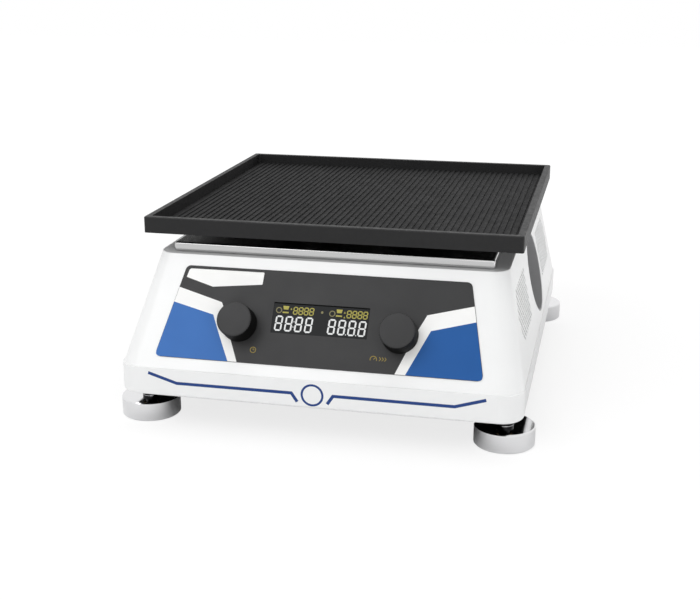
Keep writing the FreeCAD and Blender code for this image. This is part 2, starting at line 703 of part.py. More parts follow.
def make_base_tub():
    body = new_body("base_tub_body")
    half_width, half_length = S.skirt_half_width, S.skirt_half_length
    outline = sketch_in(body, "skirt_outline", lift=S.skirt_bottom)
    rounded(outline, (-half_width, half_width), (-half_length, half_length), S.front_corner, S.rear_corner)
    pad(body, outline, S.parting_height - S.skirt_bottom)
    wall = S.shell_wall
    hollow = sketch_in(body, "skirt_hollow", lift=S.parting_height)
    rounded(hollow, (wall - half_width, half_width - wall), (wall - half_length, half_length - wall),
            S.front_corner - wall, S.rear_corner - wall)
    pocket(body, hollow, S.parting_height - S.skirt_bottom - wall)
    floor_top = S.skirt_bottom + wall
    boss_sets = [
        ("foot_boss", corners_of(foot_across, foot_along), S.insert_radius + S.insert_wall,
         S.skirt_bottom + S.insert_height),
        ("closing_boss", closing_screw_spots(), S.boss_radius, S.parting_height),
        ("chassis_boss", chassis_screw_spots(), S.chassis_boss_radius, S.chassis_height),
    ]
    for name, spots, radius, top in boss_sets:
        sketch = sketch_in(body, name, lift=floor_top)
        for x, y in spots:
            circle(sketch, x, y, radius)
        pad(body, sketch, top - floor_top)
    hole_sets = [
        ("insert_hole", corners_of(foot_across, foot_along), S.insert_radius + S.seat_gap,
         S.skirt_bottom + S.insert_height, S.insert_height),
        ("closing_hole", closing_screw_spots(), S.screw_radius + S.clear_gap,
         S.parting_height, S.parting_height - S.skirt_bottom),
        ("closing_head_hole", closing_screw_spots(), S.screw_head_radius + S.clear_gap,
         S.screw_head_seat, S.screw_head_seat - S.skirt_bottom),
        ("chassis_hole", chassis_screw_spots(), S.m4_radius + S.seat_gap,
         S.chassis_height, S.chassis_height - S.skirt_bottom - wall),
    ]
    for name, spots, radius, top, depth in hole_sets:
        sketch = sketch_in(body, name, lift=top)
        for x, y in spots:
            circle(sketch, x, y, radius)
        pocket(body, sketch, depth)
    lowest = edge_at(S.skirt_bottom)

    def skirt_bottom_edge(edge):
        bounds = edge.BoundBox
        far_x = max(bounds.XMax, -bounds.XMin) > number(half_width) - 0.01
        far_y = max(bounds.YMax, -bounds.YMin) > number(half_length) - 0.01
        return lowest(edge) and (far_x or far_y)

    rounded_edges(body, S.skirt_edge_radius, skirt_bottom_edge)
    node(body, "base_tub")


def make_closing_screws():
    seat = S.screw_head_seat
    low = seat - S.screw_head_height
    profile = [
        (0.0, low),
        (S.screw_head_radius, low),
        (S.screw_head_radius, seat),
        (S.screw_radius, seat),
        (S.screw_radius, seat + S.screw_grip),
        (0.0, seat + S.screw_grip),
    ]
    screws = []
    for name, (x, y) in zip(CORNER_NAMES, closing_screw_spots()):
        screws.append(turned(f"closing_screw_{name}", profile, x, y))
    node(group("closing_screws", screws), "housing_screws")


# Upper housing


def housing_section(body, name, height, inset=0.0):
    """Plan outline of the housing at a height, the walls' slopes taken in between."""
    share = (height - S.parting_height) / rise
    side = foot_side - side_lean * share - inset
    front = foot_front - S.front_lean * share - inset
    back = foot_back - S.rear_lean * share - inset
    front_radius = S.front_corner + (S.top_front_corner - S.front_corner) * share - inset
    back_radius = S.rear_corner + (S.top_rear_corner - S.rear_corner) * share - inset
    sketch = sketch_in(body, name, lift=height)
    rounded(sketch, (-side, side), (-front, back), front_radius, back_radius)
    return sketch


def loft(body, name, sections, kind):
    feature = body.newObject(kind, name)
    feature.Profile = sections[0]
    feature.Sections = sections[1:]
    feature.Ruled = True
    doc.recompute()
    return feature


def post_slots(sketch):
    """Four slots that the tray posts travel in."""
    half_length = S.post_radius + S.crank_radius + S.slot_margin
    half_width = S.post_radius + S.slot_margin
    for x, y in corners_of(S.post_across, post_along, y=S.tray_back):
        rounded(sketch, around(x, half_length), around(y, half_width), half_width - S.slot_flat)


def oval(name, half_length, half_height, low, high, frame):
    """An oval block in a tilted frame, from low to high along its normal."""
    outline = doc.addObject("Part::Ellipse", name + "_outline")
    bind(outline, "MajorRadius", half_length)
    bind(outline, "MinorRadius", half_height)
    outline.Placement = frame.multiply(Placement(Vector(0, 0, number(low)), Rotation()))
    block = doc.addObject("Part::Extrusion", name)
    block.Base = outline
    block.DirMode = "Custom"
    block.Dir = frame.Rotation.multVec(Vector(0, 0, 1))
    bind(block, "LengthFwd", high - low)
    block.Solid = True
    doc.recompute()
    return block


def fascia_outline(sketch, grow=0.0):
    """Trapezium of the control panel, made larger on all sides by grow."""
    high = S.fascia_half_height + grow
    top, bottom = S.fascia_top_half_width + grow, S.fascia_bottom_half_width + grow
    polygon(sketch, [(-bottom, -high), (bottom, -high), (top, high), (-top, high)])


def fascia_plate(name, low, high, grow=0.0):
    """The control panel's shape as a plate between two depths of the front frame."""
    body = new_body(name)
    sketch = sketch_in(body, name + "_outline", lift=low)
    fascia_outline(sketch, grow)
    pad(body, sketch, high - low)
    rounded_edges(body, S.fascia_corner, lambda edge: abs(edge.tangentAt(0).z) > 0.99)
    body.Placement = front_frame()
    return body


def vent_slots(name, side, direction, near, far):
    """Slanted slots before or behind a hand-hold, kept to a field with a pointed far end."""
    frame = side_frame(side)
    way = side * direction
    low, high = -S.vent_low, S.vent_high
    middle = (low + high) / 2
    corners = [(way * near, low), (way * (far - S.vent_point), low), (way * far, middle),
               (way * (far - S.vent_point), high), (way * near, high)]
    depth = S.shell_wall * CUT_WALLS
    field = new_body(name + "_field")
    outline = sketch_in(field, name + "_outline")
    polygon(outline, corners)
    pad(field, outline, depth * 2, midplane=True)
    lean = math.radians(VENT_LEAN)
    step = S.vent_pitch / math.sin(lean)
    reach = (high - low) / math.tan(lean)
    length = (high - low) / math.sin(lean) + S.vent_pitch * 2
    count = int(number(far - near + reach) // number(step))
    bars = []
    for i in range(count):
        bar = box(f"{name}_bar_{i}", around(0.0, length / 2), around(0.0, S.vent_slot / 2), (-depth, depth))
        spot = number(near - reach / 2 + step * (i + 0.5))
        turn = Rotation(Vector(0, 0, 1), -side * VENT_LEAN)
        bars.append(moved(bar, Placement(Vector(way * spot, number(middle), 0), turn)))
    slots = doc.addObject("Part::Common", name + "_slots")
    slots.Base = field
    slots.Tool = fused(name + "_bars", bars)
    return moved(slots, frame)


def make_upper_housing():
    body = new_body("housing_shell")
    foot = housing_section(body, "housing_foot", S.parting_height)
    top = housing_section(body, "housing_top", S.housing_height)
    loft(body, "housing_outside", [foot, top], "PartDesign::AdditiveLoft")
    wall = S.shell_wall
    inner_foot = housing_section(body, "hollow_foot", S.parting_height, wall)
    inner_top = housing_section(body, "hollow_top", S.housing_height - S.top_wall, wall)
    loft(body, "housing_hollow", [inner_foot, inner_top], "PartDesign::SubtractiveLoft")
    rebate = housing_section(body, "panel_rebate", S.housing_height, S.panel_rim)
    pocket(body, rebate, S.top_panel_thickness)
    slots = sketch_in(body, "housing_slots", lift=S.housing_height - S.top_panel_thickness)
    post_slots(slots)
    pocket(body, slots, S.top_wall)
    under_top = S.housing_height - S.top_wall
    bosses = sketch_in(body, "closing_posts", lift=S.parting_height)
    for x, y in closing_screw_spots():
        circle(bosses, x, y, S.boss_radius)
    pad(body, bosses, under_top - S.parting_height)
    bore_top = S.screw_head_seat + S.screw_grip + S.clear_gap
    bores = sketch_in(body, "closing_bores", lift=bore_top)
    for x, y in closing_screw_spots():
        circle(bores, x, y, S.screw_radius + S.seat_gap)
    pocket(body, bores, bore_top - S.parting_height)

    front, back = front_frame(), back_frame()
    deep = S.shell_wall * CUT_WALLS
    tools = [fascia_plate("fascia_seat", -S.fascia_sink, PAST, S.seat_gap)]
    ledge_x = S.window_half_width - S.window_ledge
    ledge_y = S.window_half_height - S.window_ledge
    through = (-deep, S.shell_wall)
    tools.append(moved(box("window_hole", around(0.0, ledge_x), around(0.0, ledge_y), through), front))
    for side in (-1, 1):
        hole = cylinder(f"bush_hole_{side + 1}", side * S.knob_across, -S.knob_below, through,
                        S.bush_radius + S.clear_gap)
        tools.append(moved(hole, front))
        tools.append(oval(f"hold_hole_{side + 1}", S.hold_half_length, hold_half_height, -deep,
                          S.shell_wall, side_frame(side)))
        tools.append(vent_slots(f"front_vent_{side + 1}", side, -1, S.vent_front_near, S.vent_front_far))
        tools.append(vent_slots(f"rear_vent_{side + 1}", side, 1, S.vent_rear_near, S.vent_rear_far))
    inlet = box("inlet_hole", around(-S.inlet_right, S.inlet_half_width + S.seat_gap),
                around(-S.inlet_below, S.inlet_half_height + S.seat_gap), through)
    switch = box("switch_hole",
                 around(-S.switch_right, S.switch_half_width + S.switch_wall + S.seat_gap),
                 around(-S.inlet_below, S.switch_half_height + S.switch_wall + S.seat_gap), through)
    tools += [moved(inlet, back), moved(switch, back)]
    node(cut("housing_finished", body, tools), "upper_housing")


def make_top_panel():
    body = new_body("top_panel_body")
    low = S.housing_height - S.top_panel_thickness
    outline = housing_section(body, "top_panel_outline", S.housing_height, S.panel_rim + S.clear_gap)
    bind_lift(outline, low)
    pad(body, outline, S.top_panel_thickness)
    slots = sketch_in(body, "top_panel_slots", lift=S.housing_height)
    post_slots(slots)
    pocket(body, slots, S.top_panel_thickness)
    node(body, "top_panel")


def bind_lift(sketch, lift):
    sketch.AttachmentOffset = Placement(Vector(0, 0, number(lift)), Rotation())
    sketch.setExpression("AttachmentOffset.Base.z", size_of(lift).formula)


def make_hand_holds():
    """Oval cups that close the hand-holds in the two sides."""
    for side, name in ((-1, "left"), (1, "right")):
        frame = side_frame(side)
        gap, wall, depth = S.seat_gap, S.hold_wall, S.hold_depth
        half_length, half_height = S.hold_half_length - gap, hold_half_height - gap
        cup = oval(f"cup_{name}", half_length, half_height, -depth - wall, -S.hold_sink, frame)
        lip = oval(f"cup_lip_{name}", half_length + S.hold_lip, half_height + S.hold_lip,
                   -S.shell_wall - wall, -S.shell_wall, frame)
        hollow = oval(f"cup_hollow_{name}", half_length - wall, half_height - wall, -depth, PAST, frame)
        solid = fused(f"cup_solid_{name}", [cup, lip])
        node(cut(f"cup_cut_{name}", solid, [hollow]), f"hand_hold_{name}")


# Front controls


def make_fascia():
    plate = fascia_plate("fascia_plate", -S.fascia_sink, S.fascia_thickness - S.fascia_sink)
    front = front_frame()
    through = (-S.fascia_thickness - PAST, S.fascia_thickness + PAST)
    gap = S.seat_gap
    tools = [moved(box("fascia_window", around(0.0, S.window_half_width + gap),
                       around(0.0, S.window_half_height + gap), through), front)]
    for side in (-1, 1):
        hole = cylinder(f"fascia_hole_{side + 1}", side * S.knob_across, -S.knob_below, through,
                        S.bush_radius + S.clear_gap)
        tools.append(moved(hole, front))
    node(cut("fascia_cut", plate, tools), "control_panel")
    low = -S.fascia_sink
    lens = box("lens", around(0.0, S.window_half_width), around(0.0, S.window_half_height),
               (low, low + S.window_thickness))
    node(moved(lens, front), "display_window")


def make_control_board():
    front = front_frame()
    face = -S.board_depth
    board = box("board", around(0.0, S.board_half_width), around(0.0, S.board_half_height),
                (face - S.board_thickness, face))
    node(moved(board, front), "control_board")
    display = box("display", around(0.0, S.display_half_width), around(0.0, S.display_half_height),
                  (face, -S.shell_wall - S.clear_gap))
    node(moved(display, front), "display_module")
    standoffs = []
    spots = corners_of(S.board_half_width - S.standoff_inset, S.board_half_height - S.standoff_inset)
    for i, (x, y) in enumerate(spots):
        post = cylinder(f"standoff_{i}", x, y, (face, -S.shell_wall), S.standoff_radius)
        standoffs.append(moved(post, front))
    node(group("standoffs", standoffs), "board_standoffs")


def make_encoder(name, x):
    """One push-and-turn encoder with its shaft, push plate and knob."""
    front = front_frame()
    y = -S.knob_below
    foot = -S.board_depth
    shoulder = foot + S.encoder_height
    panel_face = S.fascia_thickness - S.fascia_sink
    bush_top = panel_face + S.bush_reach
    well_height = S.encoder_well_spare + S.press_travel + S.push_plate_thickness
    well = (foot + S.encoder_floor, foot + S.encoder_floor + well_height)
    block = box(f"{name}_case", around(x, S.encoder_half_width), around(y, S.encoder_half_width),
                (foot, shoulder))
    bush = cylinder(f"{name}_bush", x, y, (shoulder, bush_top), S.bush_radius)
    bore = cylinder(f"{name}_bore", x, y, (well[1], bush_top + PAST), S.knob_shaft_radius + S.running_gap)
    hollow = cylinder(f"{name}_well", x, y, well, S.encoder_well_radius)
    solid = fused(f"{name}_solid", [block, bush])
    case = cut(f"{name}_cut", solid, [fused(f"{name}_hollows", [bore, hollow])])
    node(moved(case, front), f"{name}_encoder")

    plate_top = well[1] - S.running_gap
    plate = cylinder(f"{name}_plate", x, y, (plate_top - S.push_plate_thickness, plate_top),
                     S.push_plate_radius)
    node(moved(plate, front), f"{name}_push_plate")

    knob_foot = panel_face + S.knob_gap + S.press_travel
    bore_end = knob_foot + S.knob_bore_depth
    shaft_foot = plate_top + S.running_gap
    shaft = cylinder(f"{name}_shaft_rod", x, y, (shaft_foot, bore_end - S.clear_gap), S.knob_shaft_radius)
    node(moved(shaft, front), f"{name}_shaft")

    knob_top = knob_foot + S.knob_height
    cup_top = knob_foot + S.knob_cup_depth
    bore_radius = S.knob_shaft_radius + S.seat_gap / 2
    profile = [
        (S.knob_cup_radius, knob_foot),
        (S.knob_radius, knob_foot),
        (S.knob_radius - S.knob_draft, knob_top),
        (0.0, knob_top),
        (0.0, bore_end),
        (bore_radius, bore_end),
        (bore_radius, cup_top),
        (S.knob_cup_radius, cup_top),
    ]
    knob = turned(f"{name}_knob_body", profile)
    front_edge = edge_at(knob_top)
    rounded_edges(knob, S.knob_round, front_edge)
    place(knob, x, y, 0.0)
    node(moved(knob, front), f"{name}_knob")


# Chassis, deck and rails

deck_top = deck_height + S.deck_thickness
rail_foot = deck_top + S.rail_pad
block_foot = rail_foot + S.block_rise
carriage_foot = block_foot + S.block_height
carriage_top = carriage_foot + S.carriage_thickness


def pillar_spots():
    left, right = S.deck_left - S.pillar_inset, S.deck_right - S.pillar_inset
    along = deck_half_length - S.pillar_inset
    low, high = S.tray_back - along, S.tray_back + along
    return [(-left, low), (right, low), (-left, high), (right, high)]


def make_chassis():
    body = new_body("chassis_body")
    outline = sketch_in(body, "chassis_outline", lift=S.chassis_height)
    rounded(outline, around(0.0, S.chassis_half_width), (-chassis_front, chassis_back),
            S.chassis_boss_radius)
    for x, y in chassis_screw_spots():
        circle(outline, x, y, S.m4_radius + S.clear_gap)
    for x, y in pillar_spots():
        circle(outline, x, y, S.m4_radius + S.clear_gap)
    pad(body, outline, S.chassis_thickness)
    node(body, "chassis_plate")

    screws = []
    profile = machine_screw(S.chassis_height - S.chassis_screw_grip, chassis_top)
    for i, (x, y) in enumerate(chassis_screw_spots()):
        screws.append(turned(f"chassis_screw_{i}", profile, x, y))
    node(group("chassis_screw_group", screws), "chassis_screws")


def machine_screw(tip, seat):
    """Half section of a small screw from its tip to the seat of its head, and the head above."""
    head_top = seat + S.m4_head_height
    return [
        (0.0, tip),
        (S.m4_radius, tip),
        (S.m4_radius, seat),
        (S.m4_head_radius, seat),
        (S.m4_head_radius, head_top),
        (0.0, head_top),
    ]


def make_deck():
    along = around(S.tray_back, deck_half_length)
    plate = box("deck_sheet", (-S.deck_left, S.deck_right), along, (deck_height, deck_top))
    pads = []
    for i, side in enumerate((-1, 1)):
        middle = S.tray_back + side * rail_spacing
        pads.append(box(f"deck_pad_{i}", around(0.0, S.rail_half_length),
                        around(middle, S.rail_pad_half_width), (deck_top, rail_foot)))
    solid = fused("deck_solid", [plate] + pads)
    through = (deck_height - PAST, deck_top + PAST)
    window = S.motor_half_side + S.motor_window_gap
    tools = [
        cylinder("deck_shaft_hole", -S.crank_left, S.tray_back, through, S.housing_shoulder_radius),
        box("deck_motor_window", around(-S.motor_left, window), around(S.tray_back, window), through),
    ]
    for i, (x, y) in enumerate(pillar_spots()):
        tools.append(cylinder(f"deck_screw_hole_{i}", x, y, through, S.m4_radius + S.seat_gap))
    node(cut("deck_cut", solid, tools), "deck_plate")

    pillars, screws = [], []
    tip = deck_height - S.deck_screw_grip
    for i, (x, y) in enumerate(pillar_spots()):
        column = [
            (0.0, chassis_top),
            (S.pillar_radius, chassis_top),
            (S.pillar_radius, deck_height),
            (S.m4_radius + S.seat_gap, deck_height),
            (S.m4_radius + S.seat_gap, tip - S.clear_gap),
            (0.0, tip - S.clear_gap),
        ]
        pillars.append(turned(f"pillar_{i}", column, x, y))
        screws.append(turned(f"deck_screw_{i}", machine_screw(tip, deck_top), x, y))
    node(group("pillar_group", pillars), "deck_pillars")
    node(group("deck_screw_group", screws), "deck_screws")


def make_rails():
    half, height, groove = S.rail_half_width, S.rail_height, S.rail_groove
    track_foot, neck_foot, neck_top, track_top = [height * share for share in RAIL_TRACK]
    side = [(half, 0.0), (half, track_foot), (half - groove, neck_foot), (half - groove, neck_top),
            (half, track_top), (half, height)]
    profile = side + [(-x, z) for x, z in reversed(side)]
    for name, direction in (("front", -1), ("rear", 1)):
        middle = S.tray_back + direction * rail_spacing
        rail = extruded(f"rail_{name}_body", profile, S.rail_half_length * 2, "YZ_Plane", 0.0, middle, rail_foot)
        node(rail, f"rail_{name}")


def make_bearing_blocks():
    inner = S.rail_half_width + S.running_gap
    ceiling = S.rail_height - S.block_rise + S.running_gap
    half, height = S.block_half_width, S.block_height
    profile = [(-half, 0.0), (-inner, 0.0), (-inner, ceiling), (inner, ceiling), (inner, 0.0), (half, 0.0),
               (half, height), (-half, height)]
    spots = corners_of(block_spacing, rail_spacing, y=S.tray_back)
    for name, (x, y) in zip(CORNER_NAMES, spots):
        block = extruded(f"block_{name}", profile, S.block_half_length * 2, "YZ_Plane", x, y, block_foot)
        node(block, f"bearing_block_{name}")


# Slider crank and belt drive

disc_foot = deck_top + S.crank_disc_gap
disc_top = disc_foot + S.crank_disc_height
rod_foot = disc_top + S.rod_rise
rod_top = rod_foot + S.rod_thickness
crank_cos = S.crank_radius / (S.rod_length * 2)
crank_turn = math.degrees(math.acos(number(crank_cos)))
crank_pin_x = crank_cos * S.crank_radius - S.crank_left
crank_pin_y = S.tray_back + S.crank_radius * math.sin(math.radians(crank_turn))
wrist_x = S.rod_length - S.crank_left
rod_turn = math.degrees(math.asin(number(crank_pin_y - S.tray_back) / number(S.rod_length)))


def make_crank():
    x, y = -S.crank_left, S.tray_back
    radius = S.crank_shaft_radius
    foot = belt_height - S.clear_gap - S.flange_width - S.shaft_proud
    shaft = [(0.0, foot), (radius, foot), (radius, disc_top), (0.0, disc_top)]
    node(turned("crank_shaft_body", shaft, x, y), "crank_shaft")

    bore = radius + S.seat_gap
    hub_foot = deck_height - S.bearing_inset + S.clear_gap
    profile = [
        (bore, hub_foot),
        (S.crank_hub_radius, hub_foot),
        (S.crank_hub_radius, disc_foot),
        (S.crank_disc_radius, disc_foot),
        (S.crank_disc_radius, disc_top),
        (bore, disc_top),
    ]
    disc = turned("crank_disc_body", profile, x, y)
    tap = cylinder("crank_tap", crank_pin_x, crank_pin_y, (disc_foot - PAST, disc_top + PAST), S.crank_tap_radius)
    node(cut("crank_disc_cut", disc, [tap]), "crank_disc")

    high, low = deck_height, deck_height - S.housing_drop
    seat = S.shaft_bearing_radius + S.seat_gap
    upper = high - S.bearing_inset - S.shaft_bearing_width
    lower = low + S.bearing_inset + S.shaft_bearing_width
    casting = [
        (S.housing_radius, low),
        (S.housing_radius, high - S.housing_flange_height),
        (S.housing_flange_radius, high - S.housing_flange_height),
        (S.housing_flange_radius, high),
        (seat, high),
        (seat, upper),
        (S.housing_shoulder_radius, upper),
        (S.housing_shoulder_radius, lower),
        (seat, lower),
        (seat, low),
    ]
    node(turned("bearing_housing_body", casting, x, y), "crank_bearing_housing")

    rings = []
    for name, foot in (("upper", upper), ("lower", low + S.bearing_inset)):
        profile = ring_section(radius + S.running_gap, S.shaft_bearing_radius, foot, S.shaft_bearing_width)
        rings.append(turned(f"shaft_bearing_{name}", profile, x, y))
    node(group("shaft_bearing_group", rings), "crank_bearings")


def ring_section(inner, outer, foot, width):
    """Half section of a shielded ball bearing: two races with the shields set in."""
    race = (outer - inner) * RACE_SHARE
    sink = width * SHIELD_SINK
    top = foot + width
    return [
        (inner, foot),
        (inner + race, foot),
        (inner + race, foot + sink),
        (outer - race, foot + sink),
        (outer - race, foot),
        (outer, foot),
        (outer, top),
        (outer - race, top),
        (outer - race, top - sink),
        (inner + race, top - sink),
        (inner + race, top),
        (inner, top),
    ]


def pulley_section(bore, rim, hub, hub_top):
    """Half section of a flanged belt pulley with a hub above it."""
    low, high = belt_height - S.clear_gap, belt_height + S.belt_width + S.clear_gap
    edge = rim + S.flange_rise
    foot, head = low - S.flange_width, high + S.flange_width
    return [
        (bore, foot),
        (edge, foot),
        (edge, low),
        (rim, low),
        (rim, high),
        (edge, high),
        (edge, head),
        (hub, head),
        (hub, hub_top),
        (bore, hub_top),
    ]


def make_pulleys():
    driven = pulley_section(S.crank_shaft_radius + S.seat_gap, S.driven_rim_radius, S.hub_radius,
                            deck_height - S.housing_drop - S.clear_gap)
    node(turned("driven_pulley_body", driven, -S.crank_left, S.tray_back), "driven_pulley")
    small = pulley_section(S.motor_shaft_radius + S.seat_gap, S.motor_rim_radius, S.hub_radius,
                           bracket_height - S.clear_gap)
    node(turned("motor_pulley_body", small, -S.motor_left, S.tray_back), "motor_pulley")


def belt_loop(grow):
    """Closed loop round both pulleys, the given distance outside their rims."""
    big, small = number(S.driven_rim_radius) + grow, number(S.motor_rim_radius) + grow
    big_x, small_x = -number(S.crank_left), -number(S.motor_left)
    y, z = number(S.tray_back), number(belt_height)
    lean = math.acos((big - small) / (big_x - small_x))

    def spot(x, radius, angle):
        return Vector(x + radius * math.cos(angle), y + radius * math.sin(angle), z)

    up, down = math.pi - lean, math.pi + lean
    round_big = Part.Arc(spot(big_x, big, down), spot(big_x, big, 0.0), spot(big_x, big, up)).toShape()
    round_small = Part.Arc(spot(small_x, small, up), spot(small_x, small, math.pi),
                           spot(small_x, small, down)).toShape()
    top = Part.LineSegment(spot(big_x, big, up), spot(small_x, small, up)).toShape()
    bottom = Part.LineSegment(spot(small_x, small, down), spot(big_x, big, down)).toShape()
    return Part.Wire([round_big, top, round_small, bottom])


def make_belt():
    inner = number(S.clear_gap)
    outer = inner + number(S.belt_thickness)
    face = Part.Face([belt_loop(outer), belt_loop(inner)])
    face.validate()
    belt = doc.addObject("Part::Feature", "belt_loop")
    belt.Shape = face.extrude(Vector(0, 0, number(S.belt_width)))
    node(belt, "drive_belt")


def make_motor():
    x, y = -S.motor_left, S.tray_back
    face = bracket_height + S.bracket_thickness
    top = face + S.motor_height
    body = new_body("motor_case")
    outline = sketch_in(body, "motor_outline", lift=face)
    rounded(outline, around(0.0, S.motor_half_side), around(0.0, S.motor_half_side), S.motor_corner)
    pad(body, outline, S.motor_height)
    bore = sketch_in(body, "motor_bore", lift=face + S.motor_shaft_grip + S.clear_gap)
    circle(bore, 0.0, 0.0, S.motor_shaft_radius + S.running_gap)
    pocket(body, bore, S.motor_shaft_grip + S.clear_gap)
    waist = sketch_in(body, "motor_waist", lift=top - S.motor_cap)
    past_side = around(0.0, S.motor_half_side + PAST)
    rounded(waist, past_side, past_side, S.motor_corner)
    circle(waist, 0.0, 0.0, S.motor_half_side - S.motor_waist)
    pocket(body, waist, S.motor_height - S.motor_cap * 2)
    place(body, x, y, 0.0)
    node(body, "drive_motor")

    radius = S.motor_shaft_radius
    foot = belt_height - S.clear_gap - S.flange_width - S.shaft_proud
    profile = [(0.0, foot), (radius, foot), (radius, face + S.motor_shaft_grip), (0.0, face + S.motor_shaft_grip)]
    node(turned("motor_shaft_body", profile, x, y), "motor_shaft")

    thick = S.bracket_thickness
    inner = S.motor_half_side + S.motor_side_gap
    outer = inner + thick
    low, high = bracket_height, deck_height
    right = [(outer, low), (outer, high - thick), (outer + S.bracket_ear, high - thick),
             (outer + S.bracket_ear, high), (inner, high), (inner, low + thick)]
    hat = extruded("bracket_hat", right + [(-a, b) for a, b in reversed(right)],
                   S.bracket_half_length * 2, "YZ_Plane", x, y, 0.0)
    hole = cylinder("bracket_hole", x, y, (low - PAST, low + thick + PAST), S.bracket_hole_radius)
    node(cut("bracket_cut", hat, [hole]), "motor_bracket")


def rod_frame():
    """At the wrist pin, x pointing away from the crank pin."""
    spot = Vector(number(wrist_x), number(S.tray_back), 0)
    return Placement(spot, Rotation(Vector(0, 0, 1), -rod_turn))


def make_rod():
    frame = rod_frame()
    length = S.rod_length
    deep = (rod_foot, rod_top)
    eye = S.rod_bearing_radius + S.rod_eye_wall
    solids = [
        cylinder("rod_wrist_eye", 0.0, 0.0, deep, eye),
        cylinder("rod_crank_eye", -length, 0.0, deep, eye),
        box("rod_web", (-length, 0.0), around(0.0, S.rod_web_half_width), deep),
    ]
    bore = S.rod_bearing_radius + S.seat_gap
    through = (rod_foot - PAST, rod_top + PAST)
    bores = [
        cylinder("rod_wrist_bore", 0.0, 0.0, through, bore),
        cylinder("rod_crank_bore", -length, 0.0, through, bore),
    ]
    rod = cut("rod_cut", fused("rod_solid", solids), bores)
    node(moved(rod, frame), "connecting_rod")

    foot = rod_foot + (S.rod_thickness - S.rod_bearing_width) / 2
    profile = ring_section(S.rod_pin_radius + S.running_gap, S.rod_bearing_radius, foot, S.rod_bearing_width)
    rings = []
    for name, x in (("wrist", 0.0), ("crank", -length)):
        rings.append(moved(turned(f"rod_bearing_{name}", profile, x), frame))
    node(group("rod_bearing_group", rings), "rod_bearings")

    low = disc_top + S.clear_gap
    seat = foot + S.rod_bearing_width
    radius = S.rod_pin_radius
    pin = [(0.0, low), (radius, low), (radius, seat), (S.pin_head_radius, seat),
           (S.pin_head_radius, seat + S.pin_head_height), (0.0, seat + S.pin_head_height)]
    node(moved(turned("crank_pin_body", pin, -length), frame), "crank_pin_screw")

    clip_top = rod_foot - S.clear_gap
    clip_foot = clip_top - S.pin_clip_height
    spacer_foot = seat + S.clear_gap
    flange_top = carriage_top + S.wrist_flange_height
    wrist = [
        (0.0, clip_foot),
        (S.pin_head_radius, clip_foot),
        (S.pin_head_radius, clip_top),
        (radius, clip_top),
        (radius, spacer_foot),
        (S.pin_head_radius, spacer_foot),
        (S.pin_head_radius, carriage_foot),
        (radius, carriage_foot),
        (radius, carriage_top),
        (S.pin_head_radius, carriage_top),
        (S.pin_head_radius, flange_top),
        (0.0, flange_top),
    ]
    node(turned("wrist_pin_body", wrist, wrist_x, S.tray_back), "wrist_pin")


# Carriage, platform and tray

platform_foot = S.housing_height + S.platform_gap
platform_top = platform_foot + S.platform_height
sheet_foot = platform_top - S.platform_sheet
tray_foot = platform_top + S.spacer_height
floor_top = tray_foot + S.tray_floor
tray_top = tray_foot + S.tray_height


def tray_spots():
    return corners_of(S.post_across, post_along, y=S.tray_back)


def make_carriage():
    body = new_body("carriage_body")
    outline = sketch_in(body, "carriage_outline", lift=carriage_foot)
    rounded(outline, around(0.0, carriage_half_width), around(S.tray_back, carriage_half_length),
            S.post_radius)
    circle(outline, -S.crank_left, S.tray_back, S.access_radius)
    circle(outline, wrist_x, S.tray_back, S.rod_pin_radius + S.seat_gap)
    for x, y in tray_spots():
        circle(outline, x, y, S.post_spigot_radius + S.seat_gap)
    pad(body, outline, S.carriage_thickness)
    node(body, "carriage_plate")

    bore = S.m5_radius + S.seat_gap
    tip = sheet_foot - S.m5_grip - S.clear_gap
    profile = [
        (0.0, carriage_foot),
        (S.post_spigot_radius, carriage_foot),
        (S.post_spigot_radius, carriage_top),
        (S.post_radius, carriage_top),
        (S.post_radius, sheet_foot),
        (bore, sheet_foot),
        (bore, tip),
        (0.0, tip),
    ]
    posts = [turned(f"post_{name}", profile, x, y) for name, (x, y) in zip(CORNER_NAMES, tray_spots())]
    node(group("post_group", posts), "tray_posts")


def make_platform():
    body = new_body("platform_body")
    across = around(0.0, S.platform_half_width)
    along = around(S.tray_back, S.platform_half_length)
    outline = sketch_in(body, "platform_outline", lift=platform_foot)
    rounded(outline, across, along, S.platform_bend)
    pad(body, outline, S.platform_height)
    rounded_edges(body, S.platform_bend * FOLD_SHARE, edge_at(platform_top))
    sheet_gauge = S.platform_sheet
    hollow = sketch_in(body, "platform_hollow", lift=sheet_foot)
    rounded(hollow, (across[0] + sheet_gauge, across[1] - sheet_gauge),
            (along[0] + sheet_gauge, along[1] - sheet_gauge), S.platform_bend - sheet_gauge)
    pocket(body, hollow, S.platform_height)
    holes = sketch_in(body, "platform_holes", lift=platform_top)
    for x, y in tray_spots():
        circle(holes, x, y, S.m5_radius + S.clear_gap)
    pocket(body, holes, sheet_gauge)
    node(body, "platform_plate")

    inner = S.m5_radius + S.clear_gap
    profile = [(inner, platform_top), (S.spacer_radius, platform_top), (S.spacer_radius, tray_foot),
               (inner, tray_foot)]
    rings = [turned(f"spacer_{name}", profile, x, y) for name, (x, y) in zip(CORNER_NAMES, tray_spots())]
    node(group("spacer_group", rings), "tray_spacers")


